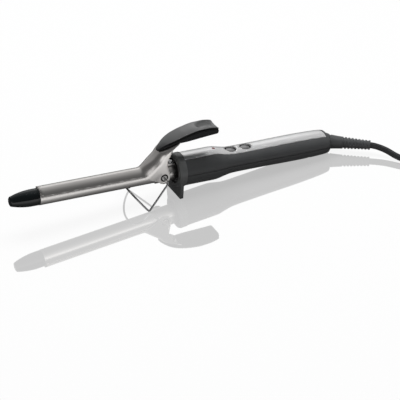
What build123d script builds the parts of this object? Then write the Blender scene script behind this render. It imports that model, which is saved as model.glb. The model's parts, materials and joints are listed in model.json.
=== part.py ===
from build123d import *
import os
from math import cos, pi, radians, sin, sqrt, tan

# Stations run along the iron's axis: the tip is negative, the tail positive.
# Heights are measured from the axis, and the floor is the plane z = 0.

# How the iron rests: tip up, on the stand's feet, the guard's base and the tail
TILT = 4.35
REST_STATION = 164.0
REST_FLAT = 0.2

# Barrel and cool tip
BARREL_RADIUS = 8.0
BARREL_WALL = 0.6
BARREL_FRONT = -125.0
BARREL_BACK = 28.0
TIP_LENGTH = 26.6
TIP_RADIUS = 7.75
TIP_END_RADIUS = 4.2
TIP_STRAIGHT = 5.0
TIP_PLUG_DEPTH = 8.0

# Heater inside the barrel
HEATER_FRONT = -112.0
HEATER_BACK = -14.0
HEATER_THICKNESS = 2.0
HEATER_WIDTH = 11.0
FILM_THICKNESS = 0.16
FILM_GAP = 0.02
SHELL_CLEARANCE = 0.15
THERMISTOR_RADIUS = 0.9
THERMISTOR_LENGTH = 12.0
FUSE_RADIUS = 2.0
FUSE_LENGTH = 10.0
LEAD_RADIUS = 0.7
LEAD_SPACING = 10.0

# Pivot bracket, rivets and clip spring
PIVOT_STATION = -5.5
BRACKET_FRONT = -11.5
BRACKET_WALL = 0.9
BOSS_RADIUS = 4.4
BOSS_FACE = 9.4
PAD_WIDTH = 7.0
PAD_FRONT = -0.5
PAD_TOP = 9.3
RIVET_SHANK_RADIUS = 1.5
RIVET_SHOULDER_RADIUS = 2.5
RIVET_HEAD_RADIUS = 3.7
RIVET_HEAD_THICKNESS = 1.4
SPRING_THICKNESS = 0.5
SPRING_TIP_STATION = -11.5
SPRING_TIP_GAP = 0.25
SPRING_BEND_INSET = 1.0
SPRING_SCREW_STATION = 4.0
SPRING_SCREW_HEAD = 2.4
SPRING_SCREW_HEAD_HEIGHT = 1.5
SPRING_SCREW_SHANK = 1.2

# Clip: spoon, neck and flanges of one sheet
CLIP_SHEET = 0.8
SPOON_GAP = 0.3
SPOON_HALF_ANGLE = 66.0
SPOON_BACK = -17.0
NECK_FOOT = (-24.3, 6.4)
NECK_TOP = (-7.5, 25.0)
TONGUE_END = (10.0, 33.9)
FLANGE_INNER = 9.5
EAR_RADIUS = 6.2
FLANGE_REAR = ((0.9, 25.6), (-2.1, 17.8), (-1.8, 11.0))

# Thumb lever
LEVER_HALF_WIDTH = 9.0
LEVER_NOSE_HALF_WIDTH = 3.4
LEVER_NOSE = (-10.5, 25.2)
LEVER_NOSE_LIP = 3.0
LEVER_NOSE_FLARE = (0.6, 0.4)
LEVER_END = 49.5
LEVER_END_BOTTOM = 37.4
LEVER_END_TOP = 41.6
LEVER_CREST = (33.0, 43.6)
LEVER_SHOULDER = (7.0, 37.0)
LEVER_WIDE_STATION = 9.0
LEVER_CORNER = 3.5
LEVER_SCREW_STATIONS = (-1.0, 6.0)
LEVER_SCREW_RADIUS = 1.0
LEVER_SCREW_HEAD = 1.9
LEVER_SCREW_HEAD_HEIGHT = 1.0
LEVER_SCREW_LENGTH = 4.0

# Wire stand
WIRE_RADIUS = 0.9
WIRE_HOOK_INNER = 9.2
WIRE_HOOK_OUTER = 19.5
FOOT_HALF_SPREAD = 22.3
FOOT_FORWARD = 21.6
ARCH_STATION = -38.5
ARCH_GAP = 0.3
HOOK_BEND = 3.0
FOOT_BEND = 2.5
ARCH_BEND = 16.0

# Guard collar
GUARD_FRONT = 8.0
GUARD_LENGTH = 7.5
GUARD_RADIUS = 16.2
GUARD_EDGE = 2.0
GUARD_RECESS_RADIUS = 12.0
GUARD_RECESS_DEPTH = 3.5
GUARD_PLATE_FRONT = 9.4
GUARD_PLATE_THICKNESS = 3.2
GUARD_HALF_WIDTH = 15.0
GUARD_CORNER = 2.5

# Handle: oval sections as (station from the handle's front, half width, half height);
# the sections and all stations in the handle move with its length
HANDLE_LENGTH = 157.0
HANDLE_OUTLINE = (
    (0.0, 15.7, 15.7),
    (31.0, 15.7, 15.7),
    (35.0, 15.5, 15.3),
    (39.0, 15.0, 14.3),
    (43.0, 14.5, 13.3),
    (47.0, 14.15, 12.4),
    (52.0, 14.0, 11.9),
    (60.0, 14.0, 11.75),
    (85.0, 14.2, 11.75),
    (105.0, 14.45, 11.95),
    (120.0, 14.6, 12.0),
    (134.0, 14.5, 11.8),
    (145.0, 14.2, 11.4),
    (150.0, 13.8, 11.05),
    (154.0, 13.1, 10.5),
    (157.0, 12.2, 9.8),
)
HOUSING_WALL = 2.2
BOSS_BITE = 0.5
BULKHEAD_STATION = 160.0
COVER_THICKNESS = 1.2
COVER_HALF_WIDTH = 7.6
COVER_BACK = 169.5
COVER_GAP = 0.05
BUSH_WALL_GAP = 0.2
BUSH_HOLES = 6
BUSH_HOLE_RADIUS = 1.6

# Screws that join the two housings, as (station, side offset)
HOUSING_SCREWS = ((37.0, 0.0), (106.0, 0.0), (148.0, 8.6), (148.0, -8.6))
SCREW_RADIUS = 1.2
SCREW_HEAD_RADIUS = 2.6
SCREW_HEAD_HEIGHT = 1.8
SCREW_SEAT = -5.0
SCREW_TOP = 5.5
SCREW_CLEARANCE = 0.2
LOWER_BOSS_RADIUS = 3.4
UPPER_BOSS_RADIUS = 2.8

# Circuit board and what it carries
BOARD_FRONT = 44.0
BOARD_BACK = 99.0
BOARD_WIDTH = 17.0
BOARD_TOP = 0.6
BOARD_THICKNESS = 1.6
BOARD_SCREW_STATIONS = (57.0, 92.5)
BOARD_SCREW_RADIUS = 0.8
BOARD_SCREW_HEAD = 1.8
BOARD_SCREW_HEAD_HEIGHT = 1.2
BOARD_SCREW_DEPTH = 5.0
BOARD_POST_RADIUS = 2.4
SWITCH_WIDTH = 6.0
SWITCH_HEIGHT = 4.0
PLUNGER_RADIUS = 1.7
PLUNGER_HEIGHT = 0.9
CHIP_SIZE = (7.0, 5.0, 1.6)
CHIP_STATION = 74.5
CAPACITOR_RADIUS = 3.5
CAPACITOR_LENGTH = 6.6
CAPACITOR_STATION = 82.0

# Buttons and indicator
BUTTON_STATIONS = (66.7, 82.2)
BUTTON_RADIUS = 5.0
BUTTON_GAP = 0.3
BUTTON_TOP = 10.9
BUTTON_DISH = 0.7
BUTTON_FLANGE_RADIUS = 6.1
BUTTON_FLANGE_TOP = 7.7
BUTTON_FLANGE_THICKNESS = 0.9
BUTTON_RING_WALL = 1.0
BUTTON_RING_GAP = 0.15
BUTTON_STEM_RADIUS = 1.6
BUTTON_TRAVEL = 0.6
BUTTON_STEM_GAP = 0.1
LENS_STATION = 48.6
LENS_RADIUS = 1.5
LENS_PROUD = 0.25
LENS_BOTTOM = 6.6
LED_RADIUS = 1.5
LED_HEIGHT = 5.8

# Ball swivel and ribbed boot
BALL_STATION = 170.0
BALL_RADIUS = 8.2
BALL_GAP = 0.1
BOOT_SWING = 34.0
BOOT_DROOP = 2.0
BOOT_NECK_RADIUS = 4.4
BOOT_BASE = 8.8
BOOT_BASE_RADIUS = 6.7
BOOT_PLAIN_END = 18.0
BOOT_END = 44.0
BOOT_END_RADIUS = 5.0
BOOT_RIBS = 8
BOOT_GROOVE_DEPTH = 1.2
BOOT_GROOVE_WIDTH = 1.3
BOOT_BORE_START = 24.0
INNER_CORD_FRONT = 124.0
CORE_SPREAD = 5.0
CORE_OFFSET = 1.4
CORE_BEND_STATION = 113.0
CORE_BEND = 3.0
CLAMP_STATION = 132.0
CLAMP_LENGTH = 10.0
CLAMP_HALF_WIDTH = 7.0
CLAMP_TOP = 4.2

# Mains lead: round, two core
CORD_RADIUS = 3.0
CORD_GAP = 0.1
CORD_START = 35.0
CORD_STRAIGHT_END = 48.0
BEND_SHARE = 0.45
CORD_ROUTE = (
    (206.0, -36.8, 7.0),
    (209.9, -47.5, 4.9),
    (216.0, -58.0, 3.8),
    (226.0, -67.0, 3.8),
    (240.0, -72.8, 3.8),
    (256.0, -75.6, 3.8),
    (272.0, -76.4, 3.8),
    (288.0, -76.2, 3.8),
)
COIL_CENTER = (302.0, -28.0)
COIL_INNER_RADIUS = 21.0
COIL_COLUMNS = 5
COIL_LAYERS = 2
COIL_TURNS = 8.67
COIL_FLOOR = 0.8
COIL_EDGE = 2.8
TIE_ANGLE = 45.0
TIE_WIDTH = 7.0
TIE_THICKNESS = 0.8
CORD_END_ROUTE = (
    (302.0, -76.0, 9.8),
    (318.0, -76.4, 9.8),
    (334.0, -76.2, 9.2),
    (349.0, -73.8, 8.2),
    (362.0, -66.6, 7.4),
    (370.6, -54.6, 7.0),
    (373.5, -42.0, 7.0),
    (373.5, -35.0, 7.0),
)

# Flat two-pin plug
PLUG_CENTER = (373.5, -35.0, 7.0)
PLUG_HALF_THICKNESS = 6.8
PLUG_HALF_WIDTH = 17.6
PLUG_RELIEF_LENGTH = 12.0
PLUG_RELIEF_RADIUS = 4.6
PLUG_BODY_LENGTH = 25.0
PLUG_BACK_HALF_WIDTH = 8.0
PLUG_EDGE = 1.5
PIN_RADIUS = 2.0
PIN_LENGTH = 19.0
PIN_SLEEVE_RADIUS = 1.8
PIN_SLEEVE_LENGTH = 10.0
PIN_SPACING = 18.6
PIN_ROOT = 6.0
PIN_TIP_CHAMFER = 0.8

RUNNING_GAP = 0.05
REACH = 60.0

os.makedirs("parts", exist_ok=True)

# Lengths that follow from the driving dimensions
TIP_END = BARREL_FRONT - TIP_LENGTH
HANDLE_FRONT = GUARD_FRONT + GUARD_LENGTH
HANDLE_BACK = HANDLE_FRONT + HANDLE_LENGTH
HANDLE_SCALE = HANDLE_LENGTH / HANDLE_OUTLINE[-1][0]
HANDLE_SECTIONS = tuple((HANDLE_SCALE * behind, wide, high) for behind, wide, high in HANDLE_OUTLINE)
BORE_RADIUS = BARREL_RADIUS - BARREL_WALL
SPOON_RADIUS = BARREL_RADIUS + SPOON_GAP
BRACKET_INNER = BARREL_RADIUS + RUNNING_GAP
BRACKET_OUTER = BRACKET_INNER + BRACKET_WALL
BRACKET_BACK = GUARD_FRONT - SPOON_GAP
FLANGE_OUTER = FLANGE_INNER + CLIP_SHEET
SLOT_HALF = HEATER_THICKNESS / 2 + FILM_THICKNESS + 2 * FILM_GAP
SHELL_RADIUS = BORE_RADIUS - SHELL_CLEARANCE
BOARD_BOTTOM = BOARD_TOP - BOARD_THICKNESS
SWITCH_TOP = BOARD_TOP + SWITCH_HEIGHT
PLUNGER_TOP = SWITCH_TOP + PLUNGER_HEIGHT
BUTTON_STEM_BOTTOM = PLUNGER_TOP + BUTTON_TRAVEL + BUTTON_STEM_GAP
COIL_WIDTH = 2 * CORD_RADIUS * COIL_COLUMNS
COIL_HEIGHT = 2 * CORD_RADIUS * COIL_LAYERS

along = Vector(cos(radians(TILT)), 0, -sin(radians(TILT)))
upward = Vector(sin(radians(TILT)), 0, cos(radians(TILT)))


def set_back(station):
    """Station in the handle, at the handle's present length."""
    return HANDLE_FRONT + HANDLE_SCALE * (station - HANDLE_FRONT)


rest_station = set_back(REST_STATION)
board_front = set_back(BOARD_FRONT)
board_back = set_back(BOARD_BACK)
lens_station = set_back(LENS_STATION)
chip_station = set_back(CHIP_STATION)
capacitor_station = set_back(CAPACITOR_STATION)
core_bend = set_back(CORE_BEND_STATION)
inner_cord_front = set_back(INNER_CORD_FRONT)
clamp_station = set_back(CLAMP_STATION)
bulkhead = set_back(BULKHEAD_STATION)
cover_back = set_back(COVER_BACK)
ball_station = set_back(BALL_STATION)
button_stations = tuple(set_back(station) for station in BUTTON_STATIONS)
board_screw_stations = tuple(set_back(station) for station in BOARD_SCREW_STATIONS)
screw_places = tuple((set_back(station), side) for station, side in HOUSING_SCREWS)


def half_height(station):
    """Half height of the handle's oval, read between its sections."""
    behind = station - HANDLE_FRONT
    for first, second in zip(HANDLE_SECTIONS, HANDLE_SECTIONS[1:]):
        if first[0] <= behind <= second[0]:
            share = (behind - first[0]) / (second[0] - first[0])
            return first[2] + share * (second[2] - first[2])
    raise ValueError("station outside the handle")


# The axis stands so that the tail's underside rests on the floor, and so that
# the origin lies under the middle of the iron's length.
tail_half_height = HANDLE_SECTIONS[-1][2]
length_sum = (TIP_END + HANDLE_BACK) * along.X
corner_sum = (tail_half_height - TIP_END_RADIUS) * upward.X
AXIS_X = -(length_sum + corner_sum) / 2
AXIS_Z = half_height(rest_station) * upward.Z - rest_station * along.Z - REST_FLAT

# Side view of the iron: x along its axis, y upward
profile = Plane(origin=(AXIS_X, 0, AXIS_Z), x_dir=along, z_dir=(0, -1, 0))
iron_axis = Axis(profile.origin, along)


def place(station, height=0.0, side=0.0):
    """World point at a station, a height above the axis and a side offset."""
    return profile.origin + along * station + upward * height + Vector(0, side, 0)


def across(station):
    """Plane square to the axis: x to the side, y upward."""
    return Plane(origin=place(station), x_dir=(0, 1, 0), z_dir=along)


def level(height, station=0.0, side=0.0):
    """Plane parallel to the axis at a height: x along it, y to the side."""
    return Plane(origin=place(station, height, side), x_dir=along, z_dir=upward)


def sideways(station, height, side, direction=1):
    """Plane facing to one side, for round pieces that lie across the axis."""
    return Plane(origin=place(station, height, side), x_dir=along, z_dir=(0, direction, 0))


def handle_half(inset, side):
    """Upper (1) or lower (-1) half of the handle's oval form, drawn in by the inset."""
    with BuildPart() as form:
        for behind, half_width, high in HANDLE_SECTIONS:
            with BuildSketch(across(HANDLE_FRONT + behind)):
                Ellipse(half_width - inset, high - inset)
                with Locations((0, -side * half_width)):
                    Rectangle(2 * half_width, 2 * half_width, mode=Mode.SUBTRACT)
        loft(ruled=True)
    return form.part


def block(low, high):
    """Box between two corners given as (station, side, height)."""
    with BuildPart() as box:
        with BuildSketch(level(low[2])):
            with Locations(((low[0] + high[0]) / 2, (low[1] + high[1]) / 2)):
                Rectangle(high[0] - low[0], high[1] - low[1])
        extrude(amount=high[2] - low[2])
    return box.part


def upright(station, side, low, high, radius):
    """Round post along the upward direction."""
    with BuildPart() as post:
        with BuildSketch(level(low, station, side)):
            Circle(radius)
        extrude(amount=high - low)
    return post.part


def save(builder, name):
    """Label a finished piece and write its file."""
    builder.part.label = name
    export_step(builder.part, f"parts/{name}.step")


# Barrel tube
with BuildPart() as barrel_tube:
    with BuildSketch(across(BARREL_FRONT)):
        Circle(BARREL_RADIUS)
        Circle(BORE_RADIUS, mode=Mode.SUBTRACT)
    extrude(amount=BARREL_BACK - BARREL_FRONT)
save(barrel_tube, "barrel_tube")

# Cool tip: a blunt bullet with a plug that sits in the barrel
tip_plug_radius = BORE_RADIUS - RUNNING_GAP
tip_plug_end = BARREL_FRONT + TIP_PLUG_DEPTH
tip_shoulder = (BARREL_FRONT - TIP_STRAIGHT, TIP_RADIUS)
with BuildPart() as tip_cap:
    with BuildSketch(profile):
        with BuildLine():
            Polyline((TIP_END, TIP_END_RADIUS), (TIP_END, 0), (tip_plug_end, 0))
            Polyline(
                (tip_plug_end, 0),
                (tip_plug_end, tip_plug_radius),
                (BARREL_FRONT, tip_plug_radius),
                (BARREL_FRONT, TIP_RADIUS),
                tip_shoulder,
            )
            TangentArc(tip_shoulder, (TIP_END, TIP_END_RADIUS), tangent=(-1, 0))
        make_face()
    revolve(axis=iron_axis)
save(tip_cap, "tip_cap")


def heater_shell(name, side):
    """Half-round aluminium shell above (1) or below (-1) the heater."""
    with BuildPart() as shell:
        with BuildSketch(across(HEATER_FRONT)):
            Circle(SHELL_RADIUS)
            with Locations((0, side * (SLOT_HALF - SHELL_RADIUS))):
                Rectangle(2 * SHELL_RADIUS, 2 * SHELL_RADIUS, mode=Mode.SUBTRACT)
        extrude(amount=HEATER_BACK - HEATER_FRONT)
        if side < 0:
            with BuildSketch(across(HEATER_BACK)):
                with Locations((0, thermistor_height)):
                    Circle(THERMISTOR_RADIUS + RUNNING_GAP)
            extrude(amount=-THERMISTOR_LENGTH, mode=Mode.SUBTRACT)
    save(shell, name)


thermistor_height = -(SLOT_HALF + SHELL_RADIUS) / 2
heater_shell("heater_upper_shell", 1)
heater_shell("heater_lower_shell", -1)

# Ceramic heater in its insulating film
with BuildPart() as ceramic_heater:
    with BuildSketch(across(HEATER_FRONT)):
        Rectangle(HEATER_WIDTH, HEATER_THICKNESS)
    extrude(amount=HEATER_BACK - HEATER_FRONT)
save(ceramic_heater, "ceramic_heater")

film_inner_width = HEATER_WIDTH + 2 * FILM_GAP
film_inner_height = HEATER_THICKNESS + 2 * FILM_GAP
with BuildPart() as heater_film:
    with BuildSketch(across(HEATER_FRONT)):
        Rectangle(film_inner_width + 2 * FILM_THICKNESS, film_inner_height + 2 * FILM_THICKNESS)
        Rectangle(film_inner_width, film_inner_height, mode=Mode.SUBTRACT)
    extrude(amount=HEATER_BACK - HEATER_FRONT)
save(heater_film, "heater_film")

# Thermistor in the lower shell, thermal fuse behind it, and the heater's leads
with BuildPart() as thermistor:
    with BuildSketch(across(HEATER_BACK - THERMISTOR_LENGTH)):
        with Locations((0, thermistor_height)):
            Circle(THERMISTOR_RADIUS)
    extrude(amount=THERMISTOR_LENGTH)
save(thermistor, "thermistor")

fuse_height = FUSE_RADIUS + 2 * RUNNING_GAP - BORE_RADIUS
with BuildPart() as thermal_fuse:
    with BuildSketch(across(HEATER_BACK + FUSE_LENGTH)):
        with Locations((0, fuse_height)):
            Circle(FUSE_RADIUS)
    extrude(amount=FUSE_LENGTH)
save(thermal_fuse, "thermal_fuse")

with BuildPart() as heater_leads:
    with BuildSketch(across(HEATER_BACK)):
        with GridLocations(LEAD_SPACING, 0, 2, 1):
            Circle(LEAD_RADIUS)
    extrude(amount=board_front - RUNNING_GAP - HEATER_BACK)
save(heater_leads, "heater_leads")

# Pivot bracket: a sleeve round the barrel with two bosses and a pad for the spring
with BuildPart() as pivot_bracket:
    with BuildSketch(across(BRACKET_FRONT)):
        Circle(BRACKET_OUTER)
    extrude(amount=BRACKET_BACK - BRACKET_FRONT)
    with BuildSketch(sideways(PIVOT_STATION, 0, 0)):
        Circle(BOSS_RADIUS)
    extrude(amount=BOSS_FACE, both=True)
    add(block((PAD_FRONT, -PAD_WIDTH / 2, 0), (BRACKET_BACK, PAD_WIDTH / 2, PAD_TOP)))
    with BuildSketch(across(BRACKET_FRONT)):
        Circle(BRACKET_INNER)
    extrude(amount=BRACKET_BACK - BRACKET_FRONT, mode=Mode.SUBTRACT)
    with BuildSketch(sideways(PIVOT_STATION, 0, 0)):
        Circle(RIVET_SHANK_RADIUS)
    extrude(amount=BOSS_FACE, both=True, mode=Mode.SUBTRACT)
    add(
        upright(SPRING_SCREW_STATION, 0, BARREL_RADIUS, PAD_TOP, SPRING_SCREW_SHANK),
        mode=Mode.SUBTRACT,
    )
save(pivot_bracket, "pivot_bracket")

# Hollow pivot rivets, one each side: the clip's ears turn on their shoulders
# and the stand's ends sit in their bores.
shoulder_end = FLANGE_OUTER + RUNNING_GAP
head_end = shoulder_end + RIVET_HEAD_THICKNESS
with BuildPart() as pivot_rivets:
    with BuildSketch(sideways(PIVOT_STATION, 0, BRACKET_INNER)):
        Circle(RIVET_SHANK_RADIUS)
    extrude(amount=BOSS_FACE - BRACKET_INNER)
    with BuildSketch(sideways(PIVOT_STATION, 0, BOSS_FACE)):
        Circle(RIVET_SHOULDER_RADIUS)
    extrude(amount=shoulder_end - BOSS_FACE)
    with BuildSketch(sideways(PIVOT_STATION, 0, shoulder_end)):
        Circle(RIVET_HEAD_RADIUS)
    extrude(amount=RIVET_HEAD_THICKNESS)
    with BuildSketch(sideways(PIVOT_STATION, 0, WIRE_HOOK_INNER - RUNNING_GAP)):
        Circle(WIRE_RADIUS + RUNNING_GAP)
    extrude(amount=head_end - WIRE_HOOK_INNER + RUNNING_GAP, mode=Mode.SUBTRACT)
    mirror(about=Plane.XZ)
save(pivot_rivets, "pivot_rivets")

# Clip: the neck rises from the spoon as a channel with side flanges and ears
neck_slope = Vector(NECK_TOP[0] - NECK_FOOT[0], NECK_TOP[1] - NECK_FOOT[1], 0).normalized()
tongue_slope = Vector(TONGUE_END[0] - NECK_TOP[0], TONGUE_END[1] - NECK_TOP[1], 0).normalized()


def under(point, slope, depth):
    """Point below a sloping line by a depth square to it."""
    return (point[0] + slope.Y * depth, point[1] - slope.X * depth)


def under_bend(point, first, second, depth):
    """Corner of the lines that run below two sloping lines by a depth."""
    share = depth / (1 + first.X * second.X + first.Y * second.Y)
    return (point[0] + (first.Y + second.Y) * share, point[1] - (first.X + second.X) * share)


def on_tongue(station):
    """Point on the tongue's upper line at a station."""
    rise = (station - NECK_TOP[0]) * tongue_slope.Y / tongue_slope.X
    return (station, NECK_TOP[1] + rise)


def tongue_plane(station):
    """Plane on the tongue's upper face at a station, facing away from the clip."""
    normal = upward * tongue_slope.X - along * tongue_slope.Y
    return Plane(origin=place(*on_tongue(station)), x_dir=(0, 1, 0), z_dir=normal)


neck_toe = (NECK_FOOT[0] - neck_slope.X * NECK_FOOT[1] / neck_slope.Y, 0.0)
ear_front = (PIVOT_STATION - EAR_RADIUS, 0.0)
with BuildPart() as clip_spoon:
    with BuildSketch(profile):
        with BuildLine():
            Polyline(
                ear_front,
                neck_toe,
                NECK_TOP,
                TONGUE_END,
                under(TONGUE_END, tongue_slope, CLIP_SHEET),
                *FLANGE_REAR,
                (PIVOT_STATION + EAR_RADIUS, 0.0),
            )
            ThreePointArc(
                (PIVOT_STATION + EAR_RADIUS, 0.0),
                (PIVOT_STATION, -EAR_RADIUS),
                ear_front,
            )
        make_face()
    extrude(amount=FLANGE_OUTER, both=True)
    # The hollow between the flanges, under the neck and the tongue
    with BuildSketch(profile):
        with BuildLine():
            Polyline(
                under(neck_toe, neck_slope, CLIP_SHEET),
                under_bend(NECK_TOP, neck_slope, tongue_slope, CLIP_SHEET),
                under(on_tongue(REACH), tongue_slope, CLIP_SHEET),
                (REACH, -REACH),
                (neck_toe[0], -REACH),
                close=True,
            )
        make_face()
    extrude(amount=FLANGE_INNER, both=True, mode=Mode.SUBTRACT)
    # Spoon: part of a ring that follows the barrel
    with BuildSketch(across(BARREL_FRONT)):
        Circle(SPOON_RADIUS + CLIP_SHEET)
        with BuildLine():
            edge = Vector(0, REACH).rotate(Axis.Z, SPOON_HALF_ANGLE)
            Polyline((0, 0), (edge.X, edge.Y), (-REACH, REACH), (REACH, REACH), (-edge.X, edge.Y), close=True)
        make_face(mode=Mode.INTERSECT)
    extrude(amount=SPOON_BACK - BARREL_FRONT)
    with BuildSketch(across(BARREL_FRONT)):
        Circle(SPOON_RADIUS)
    extrude(amount=GUARD_FRONT - BARREL_FRONT, mode=Mode.SUBTRACT)
    with BuildSketch(sideways(PIVOT_STATION, 0, 0)):
        Circle(RIVET_SHOULDER_RADIUS + RUNNING_GAP)
    extrude(amount=FLANGE_OUTER, both=True, mode=Mode.SUBTRACT)
    # Screw holes for the lever, square to the tongue
    for station in LEVER_SCREW_STATIONS:
        with BuildSketch(tongue_plane(station)):
            Circle(LEVER_SCREW_RADIUS + RUNNING_GAP)
        extrude(amount=CLIP_SHEET, both=True, mode=Mode.SUBTRACT)
save(clip_spoon, "clip_spoon")

# Thumb lever: its side outline and its outline from above, both kept
with BuildPart() as thumb_lever:
    with BuildSketch(profile):
        with BuildLine():
            Polyline(LEVER_NOSE, on_tongue(LEVER_NOSE[0] + LEVER_NOSE_LIP), TONGUE_END)
            Line(TONGUE_END, (LEVER_END, LEVER_END_BOTTOM))
            Line((LEVER_END, LEVER_END_BOTTOM), (LEVER_END, LEVER_END_TOP))
            Spline(
                (LEVER_END, LEVER_END_TOP),
                LEVER_CREST,
                LEVER_SHOULDER,
                LEVER_NOSE,
            )
        make_face()
    extrude(amount=LEVER_HALF_WIDTH, both=True)
    with BuildSketch(level(0)):
        with BuildLine():
            nose_tip = (LEVER_NOSE[0], 0)
            nose_side = (LEVER_NOSE[0] + LEVER_NOSE_HALF_WIDTH, LEVER_NOSE_HALF_WIDTH)
            wide = (LEVER_WIDE_STATION, LEVER_HALF_WIDTH)
            corner = (LEVER_END, LEVER_HALF_WIDTH)
            back = (LEVER_END, 0)
            ThreePointArc(
                (nose_side[0], -nose_side[1]), nose_tip, nose_side
            )
            for side in (1, -1):
                Spline(
                    (nose_side[0], side * nose_side[1]),
                    (wide[0], side * wide[1]),
                    tangents=((LEVER_NOSE_FLARE[0], side * LEVER_NOSE_FLARE[1]), (1, 0)),
                )
                FilletPolyline(
                    (wide[0], side * wide[1]),
                    (corner[0], side * corner[1]),
                    back,
                    radius=LEVER_CORNER,
                )
        make_face()
    extrude(amount=REACH, mode=Mode.INTERSECT)
    for station in LEVER_SCREW_STATIONS:
        with BuildSketch(tongue_plane(station)):
            Circle(LEVER_SCREW_RADIUS)
        extrude(amount=LEVER_SCREW_LENGTH, mode=Mode.SUBTRACT)
save(thumb_lever, "thumb_lever")

# Screws that hold the lever, from under the tongue
with BuildPart() as lever_screws:
    for station in LEVER_SCREW_STATIONS:
        with BuildSketch(tongue_plane(station)):
            Circle(LEVER_SCREW_RADIUS)
        extrude(amount=LEVER_SCREW_LENGTH)
        with BuildSketch(tongue_plane(station)):
            Circle(LEVER_SCREW_RADIUS)
        extrude(amount=-CLIP_SHEET)
        with BuildSketch(tongue_plane(station).offset(-CLIP_SHEET)):
            Circle(LEVER_SCREW_HEAD)
        extrude(amount=-LEVER_SCREW_HEAD_HEIGHT)
save(lever_screws, "lever_screws")

# Leaf spring from the bracket's pad up to the underside of the neck
spring_bend = (PAD_FRONT + SPRING_BEND_INSET, PAD_TOP)
spring_top = PAD_TOP + SPRING_THICKNESS
neck_rise = neck_slope.Y / neck_slope.X
spring_tip_height = NECK_FOOT[1] + (SPRING_TIP_STATION - NECK_FOOT[0]) * neck_rise
spring_tip = under((SPRING_TIP_STATION, spring_tip_height), neck_slope, CLIP_SHEET + SPRING_TIP_GAP)
with BuildPart() as clip_spring:
    with BuildSketch(profile):
        with BuildLine() as leaf:
            Polyline((BRACKET_BACK, PAD_TOP), spring_bend, spring_tip)
            offset(amount=SPRING_THICKNESS, side=Side.RIGHT)
        make_face()
    extrude(amount=PAD_WIDTH / 2, both=True)
    add(upright(SPRING_SCREW_STATION, 0, PAD_TOP, spring_top, SPRING_SCREW_SHANK), mode=Mode.SUBTRACT)
save(clip_spring, "clip_spring")

with BuildPart() as spring_screw:
    add(upright(SPRING_SCREW_STATION, 0, BARREL_RADIUS + RUNNING_GAP, spring_top, SPRING_SCREW_SHANK))
    screw_top = spring_top + SPRING_SCREW_HEAD_HEIGHT
    add(upright(SPRING_SCREW_STATION, 0, spring_top, screw_top, SPRING_SCREW_HEAD))
save(spring_screw, "spring_screw")

# Wire stand: one bent wire, hooked in the rivets, with an arch under the barrel
pivot = place(PIVOT_STATION)
foot = Vector(pivot.X - FOOT_FORWARD, 0, WIRE_RADIUS)
arch = place(ARCH_STATION, -(BARREL_RADIUS + ARCH_GAP + WIRE_RADIUS))
half_wire = (
    (pivot, WIRE_HOOK_INNER),
    (pivot, WIRE_HOOK_OUTER),
    (foot, FOOT_HALF_SPREAD),
    (arch, FOOT_HALF_SPREAD),
)
near_half = [(point.X, -side, point.Z) for point, side in half_wire]
far_half = [(point.X, side, point.Z) for point, side in reversed(half_wire)]
half_bends = [HOOK_BEND, FOOT_BEND, ARCH_BEND]
with BuildPart() as wire_stand:
    with BuildLine() as wire_path:
        FilletPolyline(near_half + far_half, radius=half_bends + half_bends[::-1])
    with BuildSketch(Plane(origin=near_half[0], z_dir=(0, -1, 0))):
        Circle(WIRE_RADIUS)
    sweep(path=wire_path.wires()[0])
save(wire_stand, "wire_stand")

# Guard collar: a hood round the barrel's root and a plate down to the floor
with BuildPart() as guard_collar:
    with BuildSketch(across(GUARD_FRONT)):
        Circle(GUARD_RADIUS)
    extrude(amount=GUARD_LENGTH)
    fillet(guard_collar.faces().sort_by(Axis(profile.origin, along))[0].edges(), GUARD_EDGE)
    with BuildSketch(across(GUARD_PLATE_FRONT)):
        with Locations((0, -REACH / 2)):
            Rectangle(2 * GUARD_HALF_WIDTH, REACH)
    extrude(amount=GUARD_PLATE_THICKNESS)
    with BuildSketch(across(GUARD_FRONT)):
        Circle(GUARD_RECESS_RADIUS)
    extrude(amount=GUARD_RECESS_DEPTH, mode=Mode.SUBTRACT)
    with BuildSketch(across(GUARD_FRONT)):
        Circle(BARREL_RADIUS + RUNNING_GAP)
    extrude(amount=GUARD_LENGTH, mode=Mode.SUBTRACT)
    split(bisect_by=Plane.XY, keep=Keep.TOP)
    fillet(
        guard_collar.edges().filter_by(Axis(profile.origin, along)).group_by(Axis.Z)[0],
        GUARD_CORNER,
    )
save(guard_collar, "guard_collar")

# Heat bush that holds the barrel in the handle
bush_radius = HANDLE_SECTIONS[0][1] - HOUSING_WALL - BUSH_WALL_GAP
bush_hole_circle = (BARREL_RADIUS + bush_radius) / 2
with BuildPart() as heat_bush:
    with BuildSketch(across(HANDLE_FRONT)):
        Circle(bush_radius)
        Circle(BARREL_RADIUS + RUNNING_GAP, mode=Mode.SUBTRACT)
        with PolarLocations(bush_hole_circle, BUSH_HOLES):
            Circle(BUSH_HOLE_RADIUS, mode=Mode.SUBTRACT)
    extrude(amount=BARREL_BACK - HANDLE_FRONT)
save(heat_bush, "heat_bush")

# Housings: two half shells of the handle's form, split at mid height, with a
# solid tail that holds the ball and bosses for the screws
handle_high = max(section[2] for section in HANDLE_SECTIONS) + 1
handle_wide = max(section[1] for section in HANDLE_SECTIONS) + 1
ring_radius = BUTTON_RADIUS + BUTTON_GAP
ring_bottom = BUTTON_FLANGE_TOP + BUTTON_RING_GAP


def half_shell(side):
    """Hollow upper (1) or lower (-1) half of the handle, before its details."""
    with BuildPart() as hollow:
        add(handle_half(HOUSING_WALL, side))
        add(
            block((HANDLE_FRONT, -handle_wide, -handle_high), (bulkhead, handle_wide, handle_high)),
            mode=Mode.INTERSECT,
        )
    with BuildPart() as shell:
        add(handle_half(0, side))
        add(hollow.part, mode=Mode.SUBTRACT)
        add(socket.part, mode=Mode.SUBTRACT)
    return shell.part


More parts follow.
